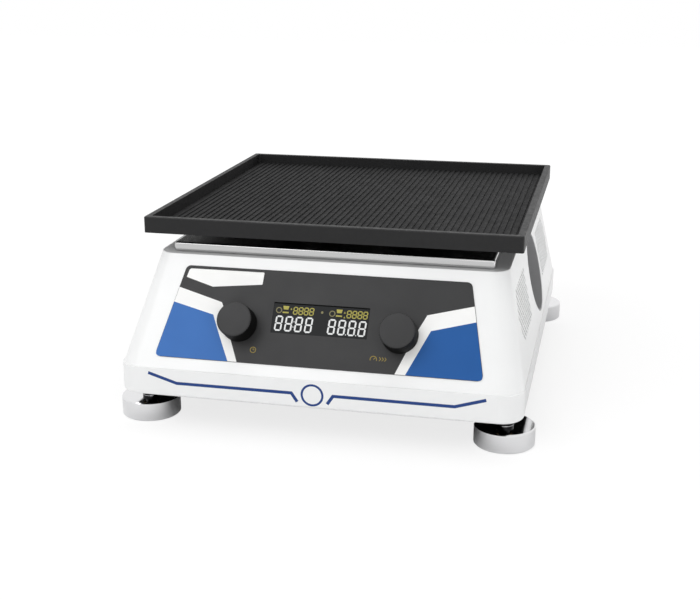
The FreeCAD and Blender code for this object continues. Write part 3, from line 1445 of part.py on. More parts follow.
def make_tray():
    body = new_body("tray_body")
    across = around(0.0, S.tray_half_width)
    along = around(S.tray_back, S.tray_half_length)
    outline = sketch_in(body, "tray_outline", lift=tray_foot)
    rounded(outline, across, along, S.tray_corner)
    pad(body, outline, S.tray_height)
    rounded_edges(body, S.tray_edge, edge_at(tray_top), "PartDesign::Chamfer")
    rim = S.tray_rim
    well = sketch_in(body, "tray_well", lift=tray_top)
    rounded(well, (across[0] + rim, across[1] - rim), (along[0] + rim, along[1] - rim), S.tray_corner)
    pocket(body, well, S.tray_height - S.tray_floor)
    heads = sketch_in(body, "tray_head_seats", lift=floor_top)
    for x, y in tray_spots():
        circle(heads, x, y, S.m5_head_radius + S.clear_gap)
    pocket(body, heads, S.m5_head_height)
    holes = sketch_in(body, "tray_holes", lift=floor_top)
    for x, y in tray_spots():
        circle(holes, x, y, S.m5_radius + S.clear_gap)
    pocket(body, holes, S.tray_floor)
    node(body, "tray")

    seat = floor_top - S.m5_head_height
    tip = sheet_foot - S.m5_grip
    profile = [(0.0, tip), (S.m5_radius, tip), (S.m5_radius, seat), (S.m5_head_radius, seat),
               (S.m5_head_radius, floor_top - S.seat_gap), (0.0, floor_top - S.seat_gap)]
    screws = [turned(f"tray_screw_{name}", profile, x, y) for name, (x, y) in zip(CORNER_NAMES, tray_spots())]
    node(group("tray_screw_group", screws), "tray_screws")


def make_mat():
    """Rubber mat with ribs that run from the front to the back."""
    body = new_body("mat_body")
    half_width = S.tray_half_width - S.tray_rim - S.mat_gap
    half_length = S.tray_half_length - S.tray_rim - S.mat_gap
    along = around(S.tray_back, half_length)
    base = sketch_in(body, "mat_outline", lift=floor_top)
    rounded(base, around(0.0, half_width), along, S.tray_corner)
    pad(body, base, S.mat_base)
    pitch, width = number(S.rib_pitch), number(S.rib_width)
    count = int((2 * number(half_width) - 2 * number(S.tray_corner) - width) // pitch) + 1
    span = S.rib_pitch * (count - 1)
    left = -span / 2
    rib = sketch_in(body, "mat_rib", lift=floor_top + S.mat_base)
    polygon(rib, [(left - S.rib_width / 2, along[0]), (left + S.rib_width / 2, along[0]),
                  (left + S.rib_width / 2, along[1]), (left - S.rib_width / 2, along[1])])
    first = pad(body, rib, S.rib_height)
    ribs = body.newObject("PartDesign::LinearPattern", "mat_ribs")
    ribs.Originals = [first]
    ribs.Direction = (rib, ["H_Axis"])
    bind(ribs, "Length", span)
    ribs.Occurrences = count
    body.Tip = ribs
    doc.recompute()
    node(body, "tray_mat")


# Rear electrics


def make_inlet():
    back = back_frame()
    x, y = -S.inlet_right, -S.inlet_below
    half_x, half_y = S.inlet_half_width, S.inlet_half_height
    flange = S.inlet_flange
    shell = fused("inlet_shell", [
        box("inlet_case", around(x, half_x), around(y, half_y), (-S.inlet_depth, 0.0)),
        box("inlet_flange_plate", around(x, half_x + flange), around(y, half_y + flange),
            (0.0, S.inlet_flange_thickness)),
    ])
    wall = S.inlet_wall
    mouth = S.inlet_flange_thickness + PAST
    socket_floor = S.inlet_flange_thickness - S.inlet_socket_depth
    socket = box("inlet_socket", around(x, half_x - wall), around(y, half_y - wall), (socket_floor, mouth))
    hollow = cut("inlet_hollow", shell, [socket])
    blades = []
    for i, step in enumerate((-1, 0, 1)):
        middle = y + S.blade_offset if step == 0 else y - S.blade_offset
        length = S.blade_length + S.earth_blade_extra if step == 0 else S.blade_length
        blades.append(box(f"inlet_blade_{i}",
                          around(x + step * S.blade_spacing, S.blade_half_thickness),
                          around(middle, S.blade_half_width), (socket_floor, socket_floor + length)))
    node(moved(fused("inlet_whole", [hollow] + blades), back), "mains_inlet")


def pivot_frame(turn=0.0):
    """At the pivot of the rocker, turned about it by some degrees."""
    spot = Vector(-number(S.switch_right), -number(S.inlet_below), -number(S.rocker_pivot_depth))
    return back_frame().multiply(Placement(spot, Rotation(Vector(1, 0, 0), turn)))


def pivot_rod(name, half_length, radius):
    """A rod along the X axis, its middle on the origin."""
    rod = cylinder(name, 0.0, 0.0, (-half_length, half_length), radius)
    return moved(rod, Placement(Vector(), Rotation(Vector(0, 1, 0), 90)))


def make_switch():
    back = back_frame()
    x, y = -S.switch_right, -S.inlet_below
    inner_x, inner_y = S.switch_half_width, S.switch_half_height
    outer_x, outer_y = inner_x + S.switch_wall, inner_y + S.switch_wall
    flange = S.switch_flange
    shell = fused("switch_shell", [
        box("switch_case", around(x, outer_x), around(y, outer_y), (-S.switch_depth, 0.0)),
        box("switch_flange_plate", around(x, outer_x + flange), around(y, outer_y + flange),
            (0.0, S.switch_flange_thickness)),
    ])
    well = box("switch_well", around(x, inner_x), around(y, inner_y),
               (S.switch_wall - S.switch_depth, S.switch_flange_thickness + PAST))
    pin_hole = moved(pivot_rod("switch_pin_hole", outer_x + PAST, S.rocker_pin_radius + S.running_gap),
                     back.inverse().multiply(pivot_frame()))
    node(moved(cut("switch_cut", shell, [well, pin_hole]), back), "switch_frame")

    pivot = S.rocker_pivot_depth
    tip, waist = pivot + S.rocker_rise, pivot + S.rocker_waist
    half = S.rocker_half_height
    heel = S.rocker_half_height / 2
    profile = [(-half, 0.0), (-heel, -heel), (heel, -heel), (half, 0.0), (half, tip), (0.0, waist), (-half, tip)]
    length = (S.switch_half_width - S.rocker_gap) * 2
    paddle = extruded("rocker_paddle", profile, length, "YZ_Plane")
    pin = pivot_rod("rocker_pin", S.switch_half_width + S.switch_wall - S.clear_gap, S.rocker_pin_radius)
    off_turn = -number(S.rocker_throw) / 2
    node(moved(fused("rocker_whole", [paddle, pin]), pivot_frame(off_turn)), "power_rocker")


def make_supply():
    x, y = S.supply_right, chassis_back - S.supply_in_back
    top = chassis_top + S.supply_height
    case = box("supply_case", around(x, S.supply_half_width), around(y, S.supply_half_depth),
               (chassis_top, top))
    slots = []
    step = S.supply_half_width * 2 / (SUPPLY_SLOTS + 1)
    for i in range(SUPPLY_SLOTS):
        middle = x - S.supply_half_width + step * (i + 1)
        slots.append(box(f"supply_slot_{i}", around(middle, S.supply_fin / 2),
                         around(y, S.supply_half_depth - S.supply_fin * 2), (top - S.supply_fin, top + PAST)))
    node(cut("supply_cut", case, slots), "power_supply")


# Build, check and write


def build():
    make_feet()
    make_foot_inserts()
    make_base_tub()
    make_closing_screws()
    make_upper_housing()
    make_top_panel()
    make_hand_holds()
    make_fascia()
    make_control_board()
    make_encoder("time", -S.knob_across)
    make_encoder("speed", S.knob_across)
    make_chassis()
    make_deck()
    make_rails()
    make_bearing_blocks()
    make_crank()
    make_pulleys()
    make_belt()
    make_motor()
    make_rod()
    make_carriage()
    make_platform()
    make_tray()
    make_mat()
    make_inlet()
    make_switch()
    make_supply()
    doc.recompute()


def check():
    """Stop on any failed object, and on any sub-part without a sound solid."""
    for thing in doc.Objects:
        if "Invalid" in thing.State or "Error" in thing.State:
            raise RuntimeError(f"{thing.Name} ({thing.Label}): {thing.State}")
    for thing in nodes:
        if thing.Shape.isNull() or not thing.Shape.isValid():
            raise RuntimeError(f"{thing.Label}: no valid shape")
        if not thing.Shape.Solids:
            raise RuntimeError(f"{thing.Label}: no solid")


def write():
    for thing in nodes:
        thing.Shape.exportStep(os.path.join("parts", thing.Label + ".step"))


build()
check()
write()
print(f"{len(nodes)} sub-parts, crank turned {crank_turn:.3f} deg, rod turned {rod_turn:.3f} deg")
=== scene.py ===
import json
import math

import bmesh
import bpy
from mathutils import Matrix, Vector


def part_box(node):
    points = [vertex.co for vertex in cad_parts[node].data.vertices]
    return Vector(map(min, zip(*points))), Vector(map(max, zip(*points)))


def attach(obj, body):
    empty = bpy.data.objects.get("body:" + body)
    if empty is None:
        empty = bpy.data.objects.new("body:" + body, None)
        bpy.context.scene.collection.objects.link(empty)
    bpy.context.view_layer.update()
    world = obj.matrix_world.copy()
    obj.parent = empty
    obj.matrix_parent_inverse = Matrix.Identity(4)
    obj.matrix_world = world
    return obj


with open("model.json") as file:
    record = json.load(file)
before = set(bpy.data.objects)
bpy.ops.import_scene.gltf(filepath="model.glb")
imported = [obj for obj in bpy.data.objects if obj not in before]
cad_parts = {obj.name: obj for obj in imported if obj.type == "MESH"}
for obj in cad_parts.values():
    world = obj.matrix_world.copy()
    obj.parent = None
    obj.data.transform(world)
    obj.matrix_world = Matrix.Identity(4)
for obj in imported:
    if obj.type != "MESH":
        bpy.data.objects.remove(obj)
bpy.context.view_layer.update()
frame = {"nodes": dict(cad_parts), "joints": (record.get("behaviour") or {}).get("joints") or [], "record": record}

MM = 0.001

# Camera of the photograph, in metres and degrees
CAMERA_SPOT = (0.2475, -1.1639, 0.4258)
CAMERA_DOWN = 16.907
CAMERA_LEFT = 12.822
LENS = 60.71
SENSOR = 36.0

# Printed front panel, millimetres from the middle of the panel, x along it and y up the slope
PANEL_FACE = 0.6
PRINT_THICKNESS = 0.06
KNOB_BELOW_MIDDLE = 8.7
PANEL_TOP_HALF = 131.6
PANEL_BOTTOM_HALF = 149.3
PANEL_HALF_HEIGHT = 43.6
PANEL_CORNER = 4.4
PRINT_INSET = 0.25
PANEL_FOOT = PRINT_INSET - PANEL_HALF_HEIGHT

# White band and blue field at each end of the panel: heights of the band at the panel's end, the bends
# of the edge that both share, and the band's inner edge, from the panel's foot up
END_PRINT = {
    "left": {"side": -1, "band_top": 22.4, "band_foot": 8.2,
             "bends": ((-99.5, -1.5), (-92.2, -17.7), (-79.8, PANEL_FOOT)),
             "inner": ((-71.3, PANEL_FOOT), (-79.4, -24.6), (-91.0, 6.6), (-93.2, 10.6))},
    "right": {"side": 1, "band_top": 22.0, "band_foot": 8.0,
              "bends": ((99.9, -2.6), (81.3, PANEL_FOOT)),
              "inner": ((72.0, PANEL_FOOT), (88.1, -3.6), (95.3, 11.3))},
}
BARE_FIELD = ((-128.4, 40.6), (-130.3, 32.3), (-104.0, 24.6), (-57.4, 29.4), (-56.9, 40.7))
BARE_FIELD_ROUNDS = {0: 2.0, 3: 0.8, 4: 0.8}
CLOCK_PLACE = (-57.7, -31.2)
CLOCK_RADIUS = 2.5
GAUGE_PLACE = (52.0, -31.6)
GAUGE_RADIUS = 2.9
CHEVRON_STEP = 2.4
ICON_ARC = 0.6
ICON_BAR = 0.55

# Display, millimetres in the same plane
WINDOW_FACE = 0.3
WINDOW_HALF_WIDTH = 43.9
WINDOW_TOP = 14.1
DIGIT_SLANT = 0.06
BIG_DIGIT = {"width": 5.4, "height": 12.75, "stroke": 1.45}
SMALL_DIGIT = {"width": 3.4, "height": 6.3, "stroke": 0.95}
BIG_DIGIT_STEP = 9.22
SMALL_DIGIT_STEP = 4.95
BIG_DIGIT_FOOT = -11.45
SMALL_DIGIT_FOOT = 4.2
FIGURES = 4
MARK_RADIUS = 0.5
DISPLAY_GROUPS = {
    "time": {"left": -40.7, "marks": ((2, 3.8), (2, 8.6))},
    "speed": {"left": 8.0, "marks": ((2, 0.0), (3, 0.0))},
}
DISPLAY_SETTINGS = {
    "time": {"left": -25.4, "ring_x": -38.8, "arrows": (8.8,)},
    "speed": {"left": 23.7, "ring_x": 10.3, "arrows": (4.4, 8.8)},
}
RING_FROM_FOOT = 7.0
RING_TO_CUP = 6.3
DOT_PLACE = (1.0, 7.4)
DOT_RADIUS = 1.15
# Height of the painted shadow strip along the top of the window
PAINTED_SHADOW_HEIGHT = 1.0

# Knobs, millimetres from the panel's plane
KNOB_FACE_RADIUS = 14.3
KNOB_FACE_HEIGHT = 20.4
KNOB_EDGE_ROUND = 1.6
KNOB_CAP_SWEEP = 75.0

# Rocker of the power switch, millimetres and degrees
BACK_LEAN = 7.72
ROCKER_REST = -8.0
ROCKER_WAIST = 5.2
ROCKER_SLOPE = 13.24
ROCKER_MARK = 3.4

# Levelling feet and underside, millimetres above the bench or the underside
FOOT_TOP = 18.05
UNDERSIDE_SPREAD = 0.5

# Lines on the base, millimetres, x across and y above the bench
STRIPE_WIDTH = 2.9
STRIPE_POINTS = ((153.0, 52.6), (126.1, 44.4), (18.9, 44.5), (13.6, 36.6))
RING_HEIGHT = 43.8
RING_RADIUS = 10.4
RING_WIDTH = 2.0

# Studio: lamps with their place, what they point at, size in metres and watts
LAMPS = {
    "key": ((-0.9, -1.3, 1.7), (0.0, 0.0, 0.1), (1.4, 1.4), 14.5),
    "top": ((0.1, 0.2, 1.9), (0.0, 0.0, 0.1), (1.6, 1.6), 8.5),
    "front": ((0.7, -1.9, 0.45), (0.0, 0.0, 0.1), (1.8, 0.7), 4.0),
    "side": ((0.75, -0.1, 0.04), (0.1, -0.05, 0.05), (0.9, 0.08), 0.5),
}
AMBIENT = 0.62
FLOOR_WHITE = 1.06
FLOOR_HALF_SIZE = 4.0
SHADOW_SEEN = {"low": 0.74, "high": 1.0, "start": 0.35, "end": 0.9}
SHADOW_MIRRORED = {"low": 0.0, "high": 1.0, "start": 0.28, "end": 0.5}


# Places on the object


def joint(name):
    return next(j for j in frame["joints"] if j["name"] == name)


def panel_place():
    """Matrix from millimetres on the sloping panel to metres on the object."""
    out = Vector(joint("time_turn")["axis"])
    across = Vector((1, 0, 0))
    up = out.cross(across)
    knobs = [Vector(joint(name)["pos_m"]) for name in ("time_turn", "speed_turn")]
    middle = (knobs[0] + knobs[1]) / 2 + up * KNOB_BELOW_MIDDLE * MM
    turn = Matrix((across, up, out)).transposed().to_4x4()
    return Matrix.Translation(middle) @ turn @ Matrix.Scale(MM, 4)


def skirt_place():
    """Matrix from millimetres on the front of the base skirt to metres on the object."""
    low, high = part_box("base_tub")
    turn = Matrix(((1, 0, 0), (0, 0, -1), (0, 1, 0))).to_4x4()
    return Matrix.Translation((0, low.y, 0)) @ turn @ Matrix.Scale(MM, 4)


PANEL = panel_place()
SKIRT = skirt_place()


# Shape tools


def finished(name, bm, place, body, material):
    """Turn a bmesh drawn at a place into a piece of the object."""
    bmesh.ops.transform(bm, matrix=place, verts=bm.verts)
    bmesh.ops.remove_doubles(bm, verts=bm.verts, dist=1e-7)
    bmesh.ops.recalc_face_normals(bm, faces=bm.faces)
    mesh = bpy.data.meshes.new(name)
    bm.to_mesh(mesh)
    bm.free()
    piece = bpy.data.objects.new(name, mesh)
    bpy.context.scene.collection.objects.link(piece)
    mesh.materials.append(material)
    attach(piece, body)
    return piece


def thicken(bm, faces, base, thickness):
    """Lift flat faces to a base height and give them a thickness above it."""
    verts = {v for face in faces for v in face.verts}
    bmesh.ops.translate(bm, verts=list(verts), vec=(0, 0, base))
    grown = bmesh.ops.extrude_face_region(bm, geom=faces)
    top = [v for v in grown["geom"] if isinstance(v, bmesh.types.BMVert)]
    bmesh.ops.translate(bm, verts=top, vec=(0, 0, thickness))


def add_shape(bm, corners, base, thickness=PRINT_THICKNESS, rounds=None):
    """A flat plate with these corners; rounds gives a radius to some of them by number."""
    verts = [bm.verts.new((x, y, 0)) for x, y in corners]
    outline = set(bm.faces.new(verts).edges)
    thicken(bm, [verts[0].link_faces[0]], base, thickness)
    for index, radius in (rounds or {}).items():
        upright = [e for e in verts[index].link_edges if e not in outline]
        bmesh.ops.bevel(bm, geom=upright, offset=radius, segments=8, profile=0.5, affect="EDGES",
                        material=-1)


def add_arc(bm, centre, radius, width, base, start=0.0, sweep=360.0, thickness=PRINT_THICKNESS, steps=48):
    """A flat ring, or a part of one, made by spinning a short line."""
    inner, outer = radius - width / 2, radius + width / 2
    turn = math.radians(start)
    ends = [bm.verts.new((centre[0] + r * math.cos(turn), centre[1] + r * math.sin(turn), 0))
            for r in (inner, outer)]
    edge = bm.edges.new(ends)
    before = set(bm.faces)
    whole = sweep >= 360.0
    bmesh.ops.spin(bm, geom=ends + [edge], cent=(*centre, 0), axis=(0, 0, 1),
                   angle=math.radians(sweep), steps=steps, use_merge=whole)
    thicken(bm, [f for f in bm.faces if f not in before], base, thickness)


def add_disc(bm, centre, radius, base, thickness=PRINT_THICKNESS):
    made = bmesh.ops.create_circle(bm, cap_ends=True, segments=32, radius=radius,
                                   matrix=Matrix.Translation((*centre, 0)))
    faces = list({f for v in made["verts"] for f in v.link_faces})
    thicken(bm, faces, base, thickness)


def add_bar(bm, start, end, width, base, thickness=PRINT_THICKNESS):
    """A straight bar between two points."""
    a, b = Vector(start), Vector(end)
    side = (b - a).orthogonal().normalized() * width / 2
    add_shape(bm, [tuple(a - side), tuple(b - side), tuple(b + side), tuple(a + side)], base, thickness)


def add_stripe(bm, points, width, base):
    """A line of even width through the points, mitred at its bends."""
    spots = [Vector(p) for p in points]
    left, right = [], []
    for i, spot in enumerate(spots):
        into = (spot - spots[i - 1]).normalized() if i else (spots[1] - spots[0]).normalized()
        away = (spots[i + 1] - spot).normalized() if i + 1 < len(spots) else into
        mitre = (into + away).normalized().orthogonal()
        reach = width / 2 / max(0.3, mitre.dot(into.orthogonal()))
        left.append(tuple(spot + mitre * reach))
        right.append(tuple(spot - mitre * reach))
    rungs = [(bm.verts.new((*a, 0)), bm.verts.new((*b, 0))) for a, b in zip(left, right)]
    faces = [bm.faces.new((a, c, d, b)) for (a, b), (c, d) in zip(rungs, rungs[1:])]
    thicken(bm, faces, base, PRINT_THICKNESS)


# Materials


def finish_of(name, colour, roughness, metallic=0.0, coat=0.0, shine=0.5):
    """A new material and its shader; shine is how much a coating or plastic mirrors."""
    material = bpy.data.materials.new(name)
    material.use_nodes = True
    shader = material.node_tree.nodes["Principled BSDF"]
    shader.inputs["Base Color"].default_value = (*colour, 1.0)
    shader.inputs["Roughness"].default_value = roughness
    shader.inputs["Metallic"].default_value = metallic
    shader.inputs["Coat Weight"].default_value = coat
    shader.inputs["Specular IOR Level"].default_value = shine
    return material, shader


def object_coordinates(material, stretch=(1.0, 1.0, 1.0), centre=(0.0, 0.0, 0.0)):
    tree = material.node_tree
    coordinates = tree.nodes.new("ShaderNodeTexCoord")
    mapping = tree.nodes.new("ShaderNodeMapping")
    mapping.inputs["Scale"].default_value = stretch
    mapping.inputs["Location"].default_value = [-c * s for c, s in zip(centre, stretch)]
    tree.links.new(coordinates.outputs["Object"], mapping.inputs["Vector"])
    return mapping.outputs["Vector"]


def noise(material, grain, detail=3.0, stretch=(1.0, 1.0, 1.0), vector=None):
    """Noise with grains of about this size in metres."""
    tree = material.node_tree
    node = tree.nodes.new("ShaderNodeTexNoise")
    node.inputs["Scale"].default_value = 1.0 / grain
    node.inputs["Detail"].default_value = detail
    tree.links.new(vector or object_coordinates(material, stretch), node.inputs["Vector"])
    return node.outputs["Fac"]


def spread(material, value, low, high, start=0.3, end=0.7):
    """Carry a noise value over to a range."""
    tree = material.node_tree
    node = tree.nodes.new("ShaderNodeMapRange")
    node.inputs["From Min"].default_value = start
    node.inputs["From Max"].default_value = end
    node.inputs["To Min"].default_value = low
    node.inputs["To Max"].default_value = high
    tree.links.new(value, node.inputs["Value"])
    return node.outputs["Result"]


def colours_between(material, value, first, second):
    """Mix two colours by a value."""
    tree = material.node_tree
    node = tree.nodes.new("ShaderNodeMix")
    node.data_type = "RGBA"
    node.inputs["A"].default_value = (*first, 1.0)
    node.inputs["B"].default_value = (*second, 1.0)
    tree.links.new(value, node.inputs["Factor"])
    return node.outputs["Result"]


def scaled(colour, factor):
    return tuple(min(1.0, c * factor) for c in colour)


def mottle(material, shader, colour, amount, grain):
    """Let the colour wander a little over the surface."""
    value = spread(material, noise(material, grain), 0.0, 1.0)
    mixed = colours_between(material, value, scaled(colour, 1 - amount), scaled(colour, 1 + amount))
    material.node_tree.links.new(mixed, shader.inputs["Base Color"])
    return mixed


def uneven_gloss(material, shader, low, high, grain, stretch=(1.0, 1.0, 1.0)):
    value = spread(material, noise(material, grain, stretch=stretch), low, high)
    material.node_tree.links.new(value, shader.inputs["Roughness"])


def bumpy(material, shader, height, depth, strength=1.0):
    """Raise the surface by a value times a depth in metres."""
    tree = material.node_tree
    node = tree.nodes.new("ShaderNodeBump")
    node.inputs["Strength"].default_value = strength
    node.inputs["Distance"].default_value = depth
    tree.links.new(height, node.inputs["Height"])
    tree.links.new(node.outputs["Normal"], shader.inputs["Normal"])


def moulded_plastic(name, colour, roughness, grain=0.0006, depth=0.00002, coat=0.0, wander=0.02, shine=0.5):
    material, shader = finish_of(name, colour, roughness, coat=coat, shine=shine)
    mottle(material, shader, colour, wander, 0.05)
    uneven_gloss(material, shader, roughness * 0.9, roughness * 1.12, 0.02)
    bumpy(material, shader, noise(material, grain), depth)
    return material


def coated_metal(name, colour, roughness, shine=0.3):
    """Fine textured powder coating."""
    material, shader = finish_of(name, colour, roughness, shine=shine)
    mottle(material, shader, colour, 0.08, 0.03)
    uneven_gloss(material, shader, roughness * 0.85, roughness * 1.15, 0.004)
    bumpy(material, shader, noise(material, 0.0009, detail=2.0), 0.00006)
    return material


def ribbed_rubber(name, colour, shine=0.3):
    material, shader = finish_of(name, colour, 0.75, shine=shine)
    mottle(material, shader, colour, 0.18, 0.02)
    uneven_gloss(material, shader, 0.62, 0.85, 0.006)
    bumpy(material, shader, noise(material, 0.0005), 0.00005)
    return material


def brushed_metal(name, colour, roughness, along=(0.02, 1.0, 1.0), depth=0.00001, streaks=0.09):
    """Metal with fine parallel marks; along is small in the direction of the marks."""
    material, shader = finish_of(name, colour, roughness, metallic=1.0)
    marks = noise(material, 0.0004, detail=4.0, stretch=along)
    shade = colours_between(material, spread(material, marks, 0.0, 1.0), scaled(colour, 1 - streaks),
                            scaled(colour, 1 + streaks))
    material.node_tree.links.new(shade, shader.inputs["Base Color"])
    uneven_gloss(material, shader, roughness * 0.8, roughness * 1.25, 0.0006, stretch=along)
    bumpy(material, shader, marks, depth)
    return material


def turned_metal(name, colour, roughness, centre, stem_foot):
    """Bright metal turned about an upright axis, with fine rings; above a height it is painted near black as
    painted shade, for the stem in the shadow under the body.
    """
    material, shader = finish_of(name, colour, roughness, metallic=1.0)
    tree = material.node_tree
    parts = tree.nodes.new("ShaderNodeSeparateXYZ")
    tree.links.new(object_coordinates(material, centre=centre), parts.inputs["Vector"])
    flat = tree.nodes.new("ShaderNodeCombineXYZ")
    tree.links.new(parts.outputs["X"], flat.inputs["X"])
    tree.links.new(parts.outputs["Y"], flat.inputs["Y"])
    distance = tree.nodes.new("ShaderNodeVectorMath")
    distance.operation = "LENGTH"
    tree.links.new(flat.outputs["Vector"], distance.inputs[0])
    section = tree.nodes.new("ShaderNodeCombineXYZ")
    tree.links.new(distance.outputs["Value"], section.inputs["X"])
    tree.links.new(parts.outputs["Z"], section.inputs["Y"])
    rings = noise(material, 0.0005, detail=3.0, vector=section.outputs["Vector"])
    shade = colours_between(material, spread(material, rings, 0.0, 1.0), scaled(colour, 0.985),
                            scaled(colour, 1.01))
    # Painted shade: near black above the stem's foot, where the stem stands in the shadow under the base
    upper = spread(material, parts.outputs["Z"], 0.0, 1.0, stem_foot, stem_foot + 0.0002)
    stem_painted_shade = tree.nodes.new("ShaderNodeMix")
    stem_painted_shade.data_type = "RGBA"
    stem_painted_shade.inputs["B"].default_value = (*STEM_PAINTED_SHADE, 1.0)
    tree.links.new(upper, stem_painted_shade.inputs["Factor"])
    tree.links.new(shade, stem_painted_shade.inputs["A"])
    tree.links.new(stem_painted_shade.outputs["Result"], shader.inputs["Base Color"])
    tree.links.new(spread(material, rings, roughness * 0.75, roughness * 1.3), shader.inputs["Roughness"])
    bumpy(material, shader, rings, 0.000006)
    return material


def printed_ink(name, colour, roughness=0.4, shine=0.3):
    """Screen-printed ink with a faint grain."""
    material, shader = finish_of(name, colour, roughness, shine=shine)
    mottle(material, shader, colour, 0.03, 0.03)
    uneven_gloss(material, shader, roughness * 0.9, roughness * 1.1, 0.01)
    bumpy(material, shader, noise(material, 0.0005), 0.000012)
    return material


def dark_glass(name, colour):
    material, shader = finish_of(name, colour, 0.12, shine=0.08)
    mottle(material, shader, colour, 0.06, 0.03)
    uneven_gloss(material, shader, 0.09, 0.16, 0.03)
    return material


def lit_segments(name, colour, strength):
    """Lit parts of the display."""
    material, shader = finish_of(name, colour, 0.4)
    value = spread(material, noise(material, 0.004), 0.0, 1.0)
    mixed = colours_between(material, value, scaled(colour, 0.93), colour)
    tree = material.node_tree
    tree.links.new(mixed, shader.inputs["Base Color"])
    tree.links.new(mixed, shader.inputs["Emission Color"])
    shader.inputs["Emission Strength"].default_value = strength
    return material


def circuit_board(name, colour):
    """Solder mask with lighter tracks under it."""
    material, shader = finish_of(name, colour, 0.35, coat=0.3)
    tracks = noise(material, 0.004, detail=0.0, stretch=(1.0, 0.15, 0.15))
    mixed = colours_between(material, spread(material, tracks, 0.0, 1.0, 0.48, 0.52), colour,
                            scaled(colour, 1.6))
    material.node_tree.links.new(mixed, shader.inputs["Base Color"])
    bumpy(material, shader, tracks, 0.00003)
    return material


WHITE = (0.84, 0.845, 0.845)
PANEL_GREY = (0.0305, 0.0305, 0.0315)
# Painted shade: the knob's sides are near black, darker than its panel-grey front cap, for the shade on the sides
# under light from above
KNOB_SIDE_PAINTED_SHADE = (0.004, 0.004, 0.004)
TOP_GREY = (0.54, 0.542, 0.546)
HOLD_GREY = (0.30, 0.30, 0.305)
TRAY_BLACK = (0.013, 0.013, 0.0135)
LEFT_BLUE = (0.042, 0.150, 0.44)
# Painted shade: the right field is the same blue ink as the left, made darker for the dimmer light at that end
RIGHT_BLUE_PAINTED_SHADE = (0.016, 0.096, 0.32)
NAVY = (0.010, 0.045, 0.20)
STEM_PAINTED_SHADE = (0.015, 0.015, 0.016)
FOOT_METAL = (0.78, 0.78, 0.79)


def finishes():
    """One material for each slot of the record."""
    return {
        "housing_white": moulded_plastic("white_housing", WHITE, 0.34, coat=0.15, wander=0.012),
        "panel_grey": moulded_plastic("grey_panel", PANEL_GREY, 0.45, depth=0.00003, shine=0.25),
        "hold_grey": moulded_plastic("grey_cup", HOLD_GREY, 0.5, depth=0.00004, shine=0.3),
        "knob_grey": moulded_plastic("knob_painted_shade", KNOB_SIDE_PAINTED_SHADE, 0.6, grain=0.0004, depth=0.00003, shine=0.06),
        "window_clear": dark_glass("display_glass", (0.013, 0.014, 0.015)),
        "display_dark": dark_glass("display_body", (0.010, 0.011, 0.012)),
        "board_green": circuit_board("green_board", (0.02, 0.12, 0.06)),
        "tray_black": coated_metal("black_coating", TRAY_BLACK, 0.5, shine=0.25),
        "mat_black": ribbed_rubber("black_rubber", (0.020, 0.020, 0.0205), shine=0.12),
        "platform_steel": brushed_metal("brushed_sheet", (0.52, 0.52, 0.52), 0.13, streaks=0.03,
                                        depth=0.000002),
        "foot_steel": brushed_metal("polished_foot", (0.62, 0.62, 0.62), 0.16),
        "plated_steel": brushed_metal("plated_sheet", (0.45, 0.46, 0.47), 0.36, along=(1.0, 0.4, 1.0)),
        "bright_steel": brushed_metal("ground_steel", (0.36, 0.36, 0.37), 0.32),
        "machined_aluminium": brushed_metal("milled_aluminium", (0.68, 0.69, 0.70), 0.33,
                                            along=(0.3, 1.0, 1.0)),
        "brass": brushed_metal("turned_brass", (0.62, 0.42, 0.16), 0.28),
        "belt_rubber": ribbed_rubber("belt_rubber", (0.018, 0.018, 0.018)),
        "motor_black": coated_metal("motor_enamel", (0.028, 0.028, 0.032), 0.35),
        "fitting_black": moulded_plastic("black_fitting", (0.016, 0.016, 0.017), 0.42, depth=0.00003),
    }


FINISH = finishes()
# Near-black matt plastic that only paints shade: the sheet under the base and the strip along the top of the
# display window
PAINTED_SHADE_BLACK = moulded_plastic("painted_shade_black", (0.006, 0.006, 0.006), 0.9, shine=0.0)
TOP_PANEL_GREY = moulded_plastic("grey_top", TOP_GREY, 0.36, depth=0.00003, shine=0.4)
KNOB_FACE_GREY = moulded_plastic("knob_face", PANEL_GREY, 0.45, grain=0.0004, depth=0.00003, shine=0.25)
INK_WHITE = printed_ink("white_ink", (0.88, 0.88, 0.87))
INK_BLUE = {
    "left": printed_ink("blue_ink", LEFT_BLUE, 0.36, shine=0.15),
    # The right field's ink is the left's blue darkened as painted shade
    "right": printed_ink("blue_ink_painted_shade", RIGHT_BLUE_PAINTED_SHADE, 0.36, shine=0.15),
}
INK_NAVY = printed_ink("navy_ink", NAVY)
INK_OLIVE = printed_ink("olive_ink", (0.30, 0.22, 0.035))
SEGMENT_WHITE = lit_segments("white_segments", (0.68, 0.69, 0.69), 0.12)
SEGMENT_OLIVE = lit_segments("olive_segments", (0.34, 0.30, 0.035), 0.1)
SEGMENT_DIM = lit_segments("dim_segments", (0.17, 0.15, 0.05), 0.05)


def dress_nodes():
    """Give every CAD node the finish of its slot, and some their own."""
    own = {"top_panel": TOP_PANEL_GREY}
    for name in frame["nodes"]:
        if name.startswith("levelling_foot"):
            low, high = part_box(name)
            middle = (low + high) / 2
            centre = (middle.x, middle.y, 0.0)
            # Above FOOT_TOP the foot's stem is painted near black as painted shade
            own[name] = turned_metal("polished_" + name, FOOT_METAL, 0.09, centre, FOOT_TOP * MM)
    for entry in frame["record"]["subparts"]:
        node = frame["nodes"][entry["node"]]
        node.data.materials.clear()
        node.data.materials.append(own.get(entry["node"], FINISH[entry["material_slot"]]))


# Print on the front panel


def panel_edge(y, side):
    """Where the sloping end of the panel is at height y."""
    share = (y + PANEL_HALF_HEIGHT) / (2 * PANEL_HALF_HEIGHT)
    half = PANEL_BOTTOM_HALF + (PANEL_TOP_HALF - PANEL_BOTTOM_HALF) * share
    return side * (half - PRINT_INSET)


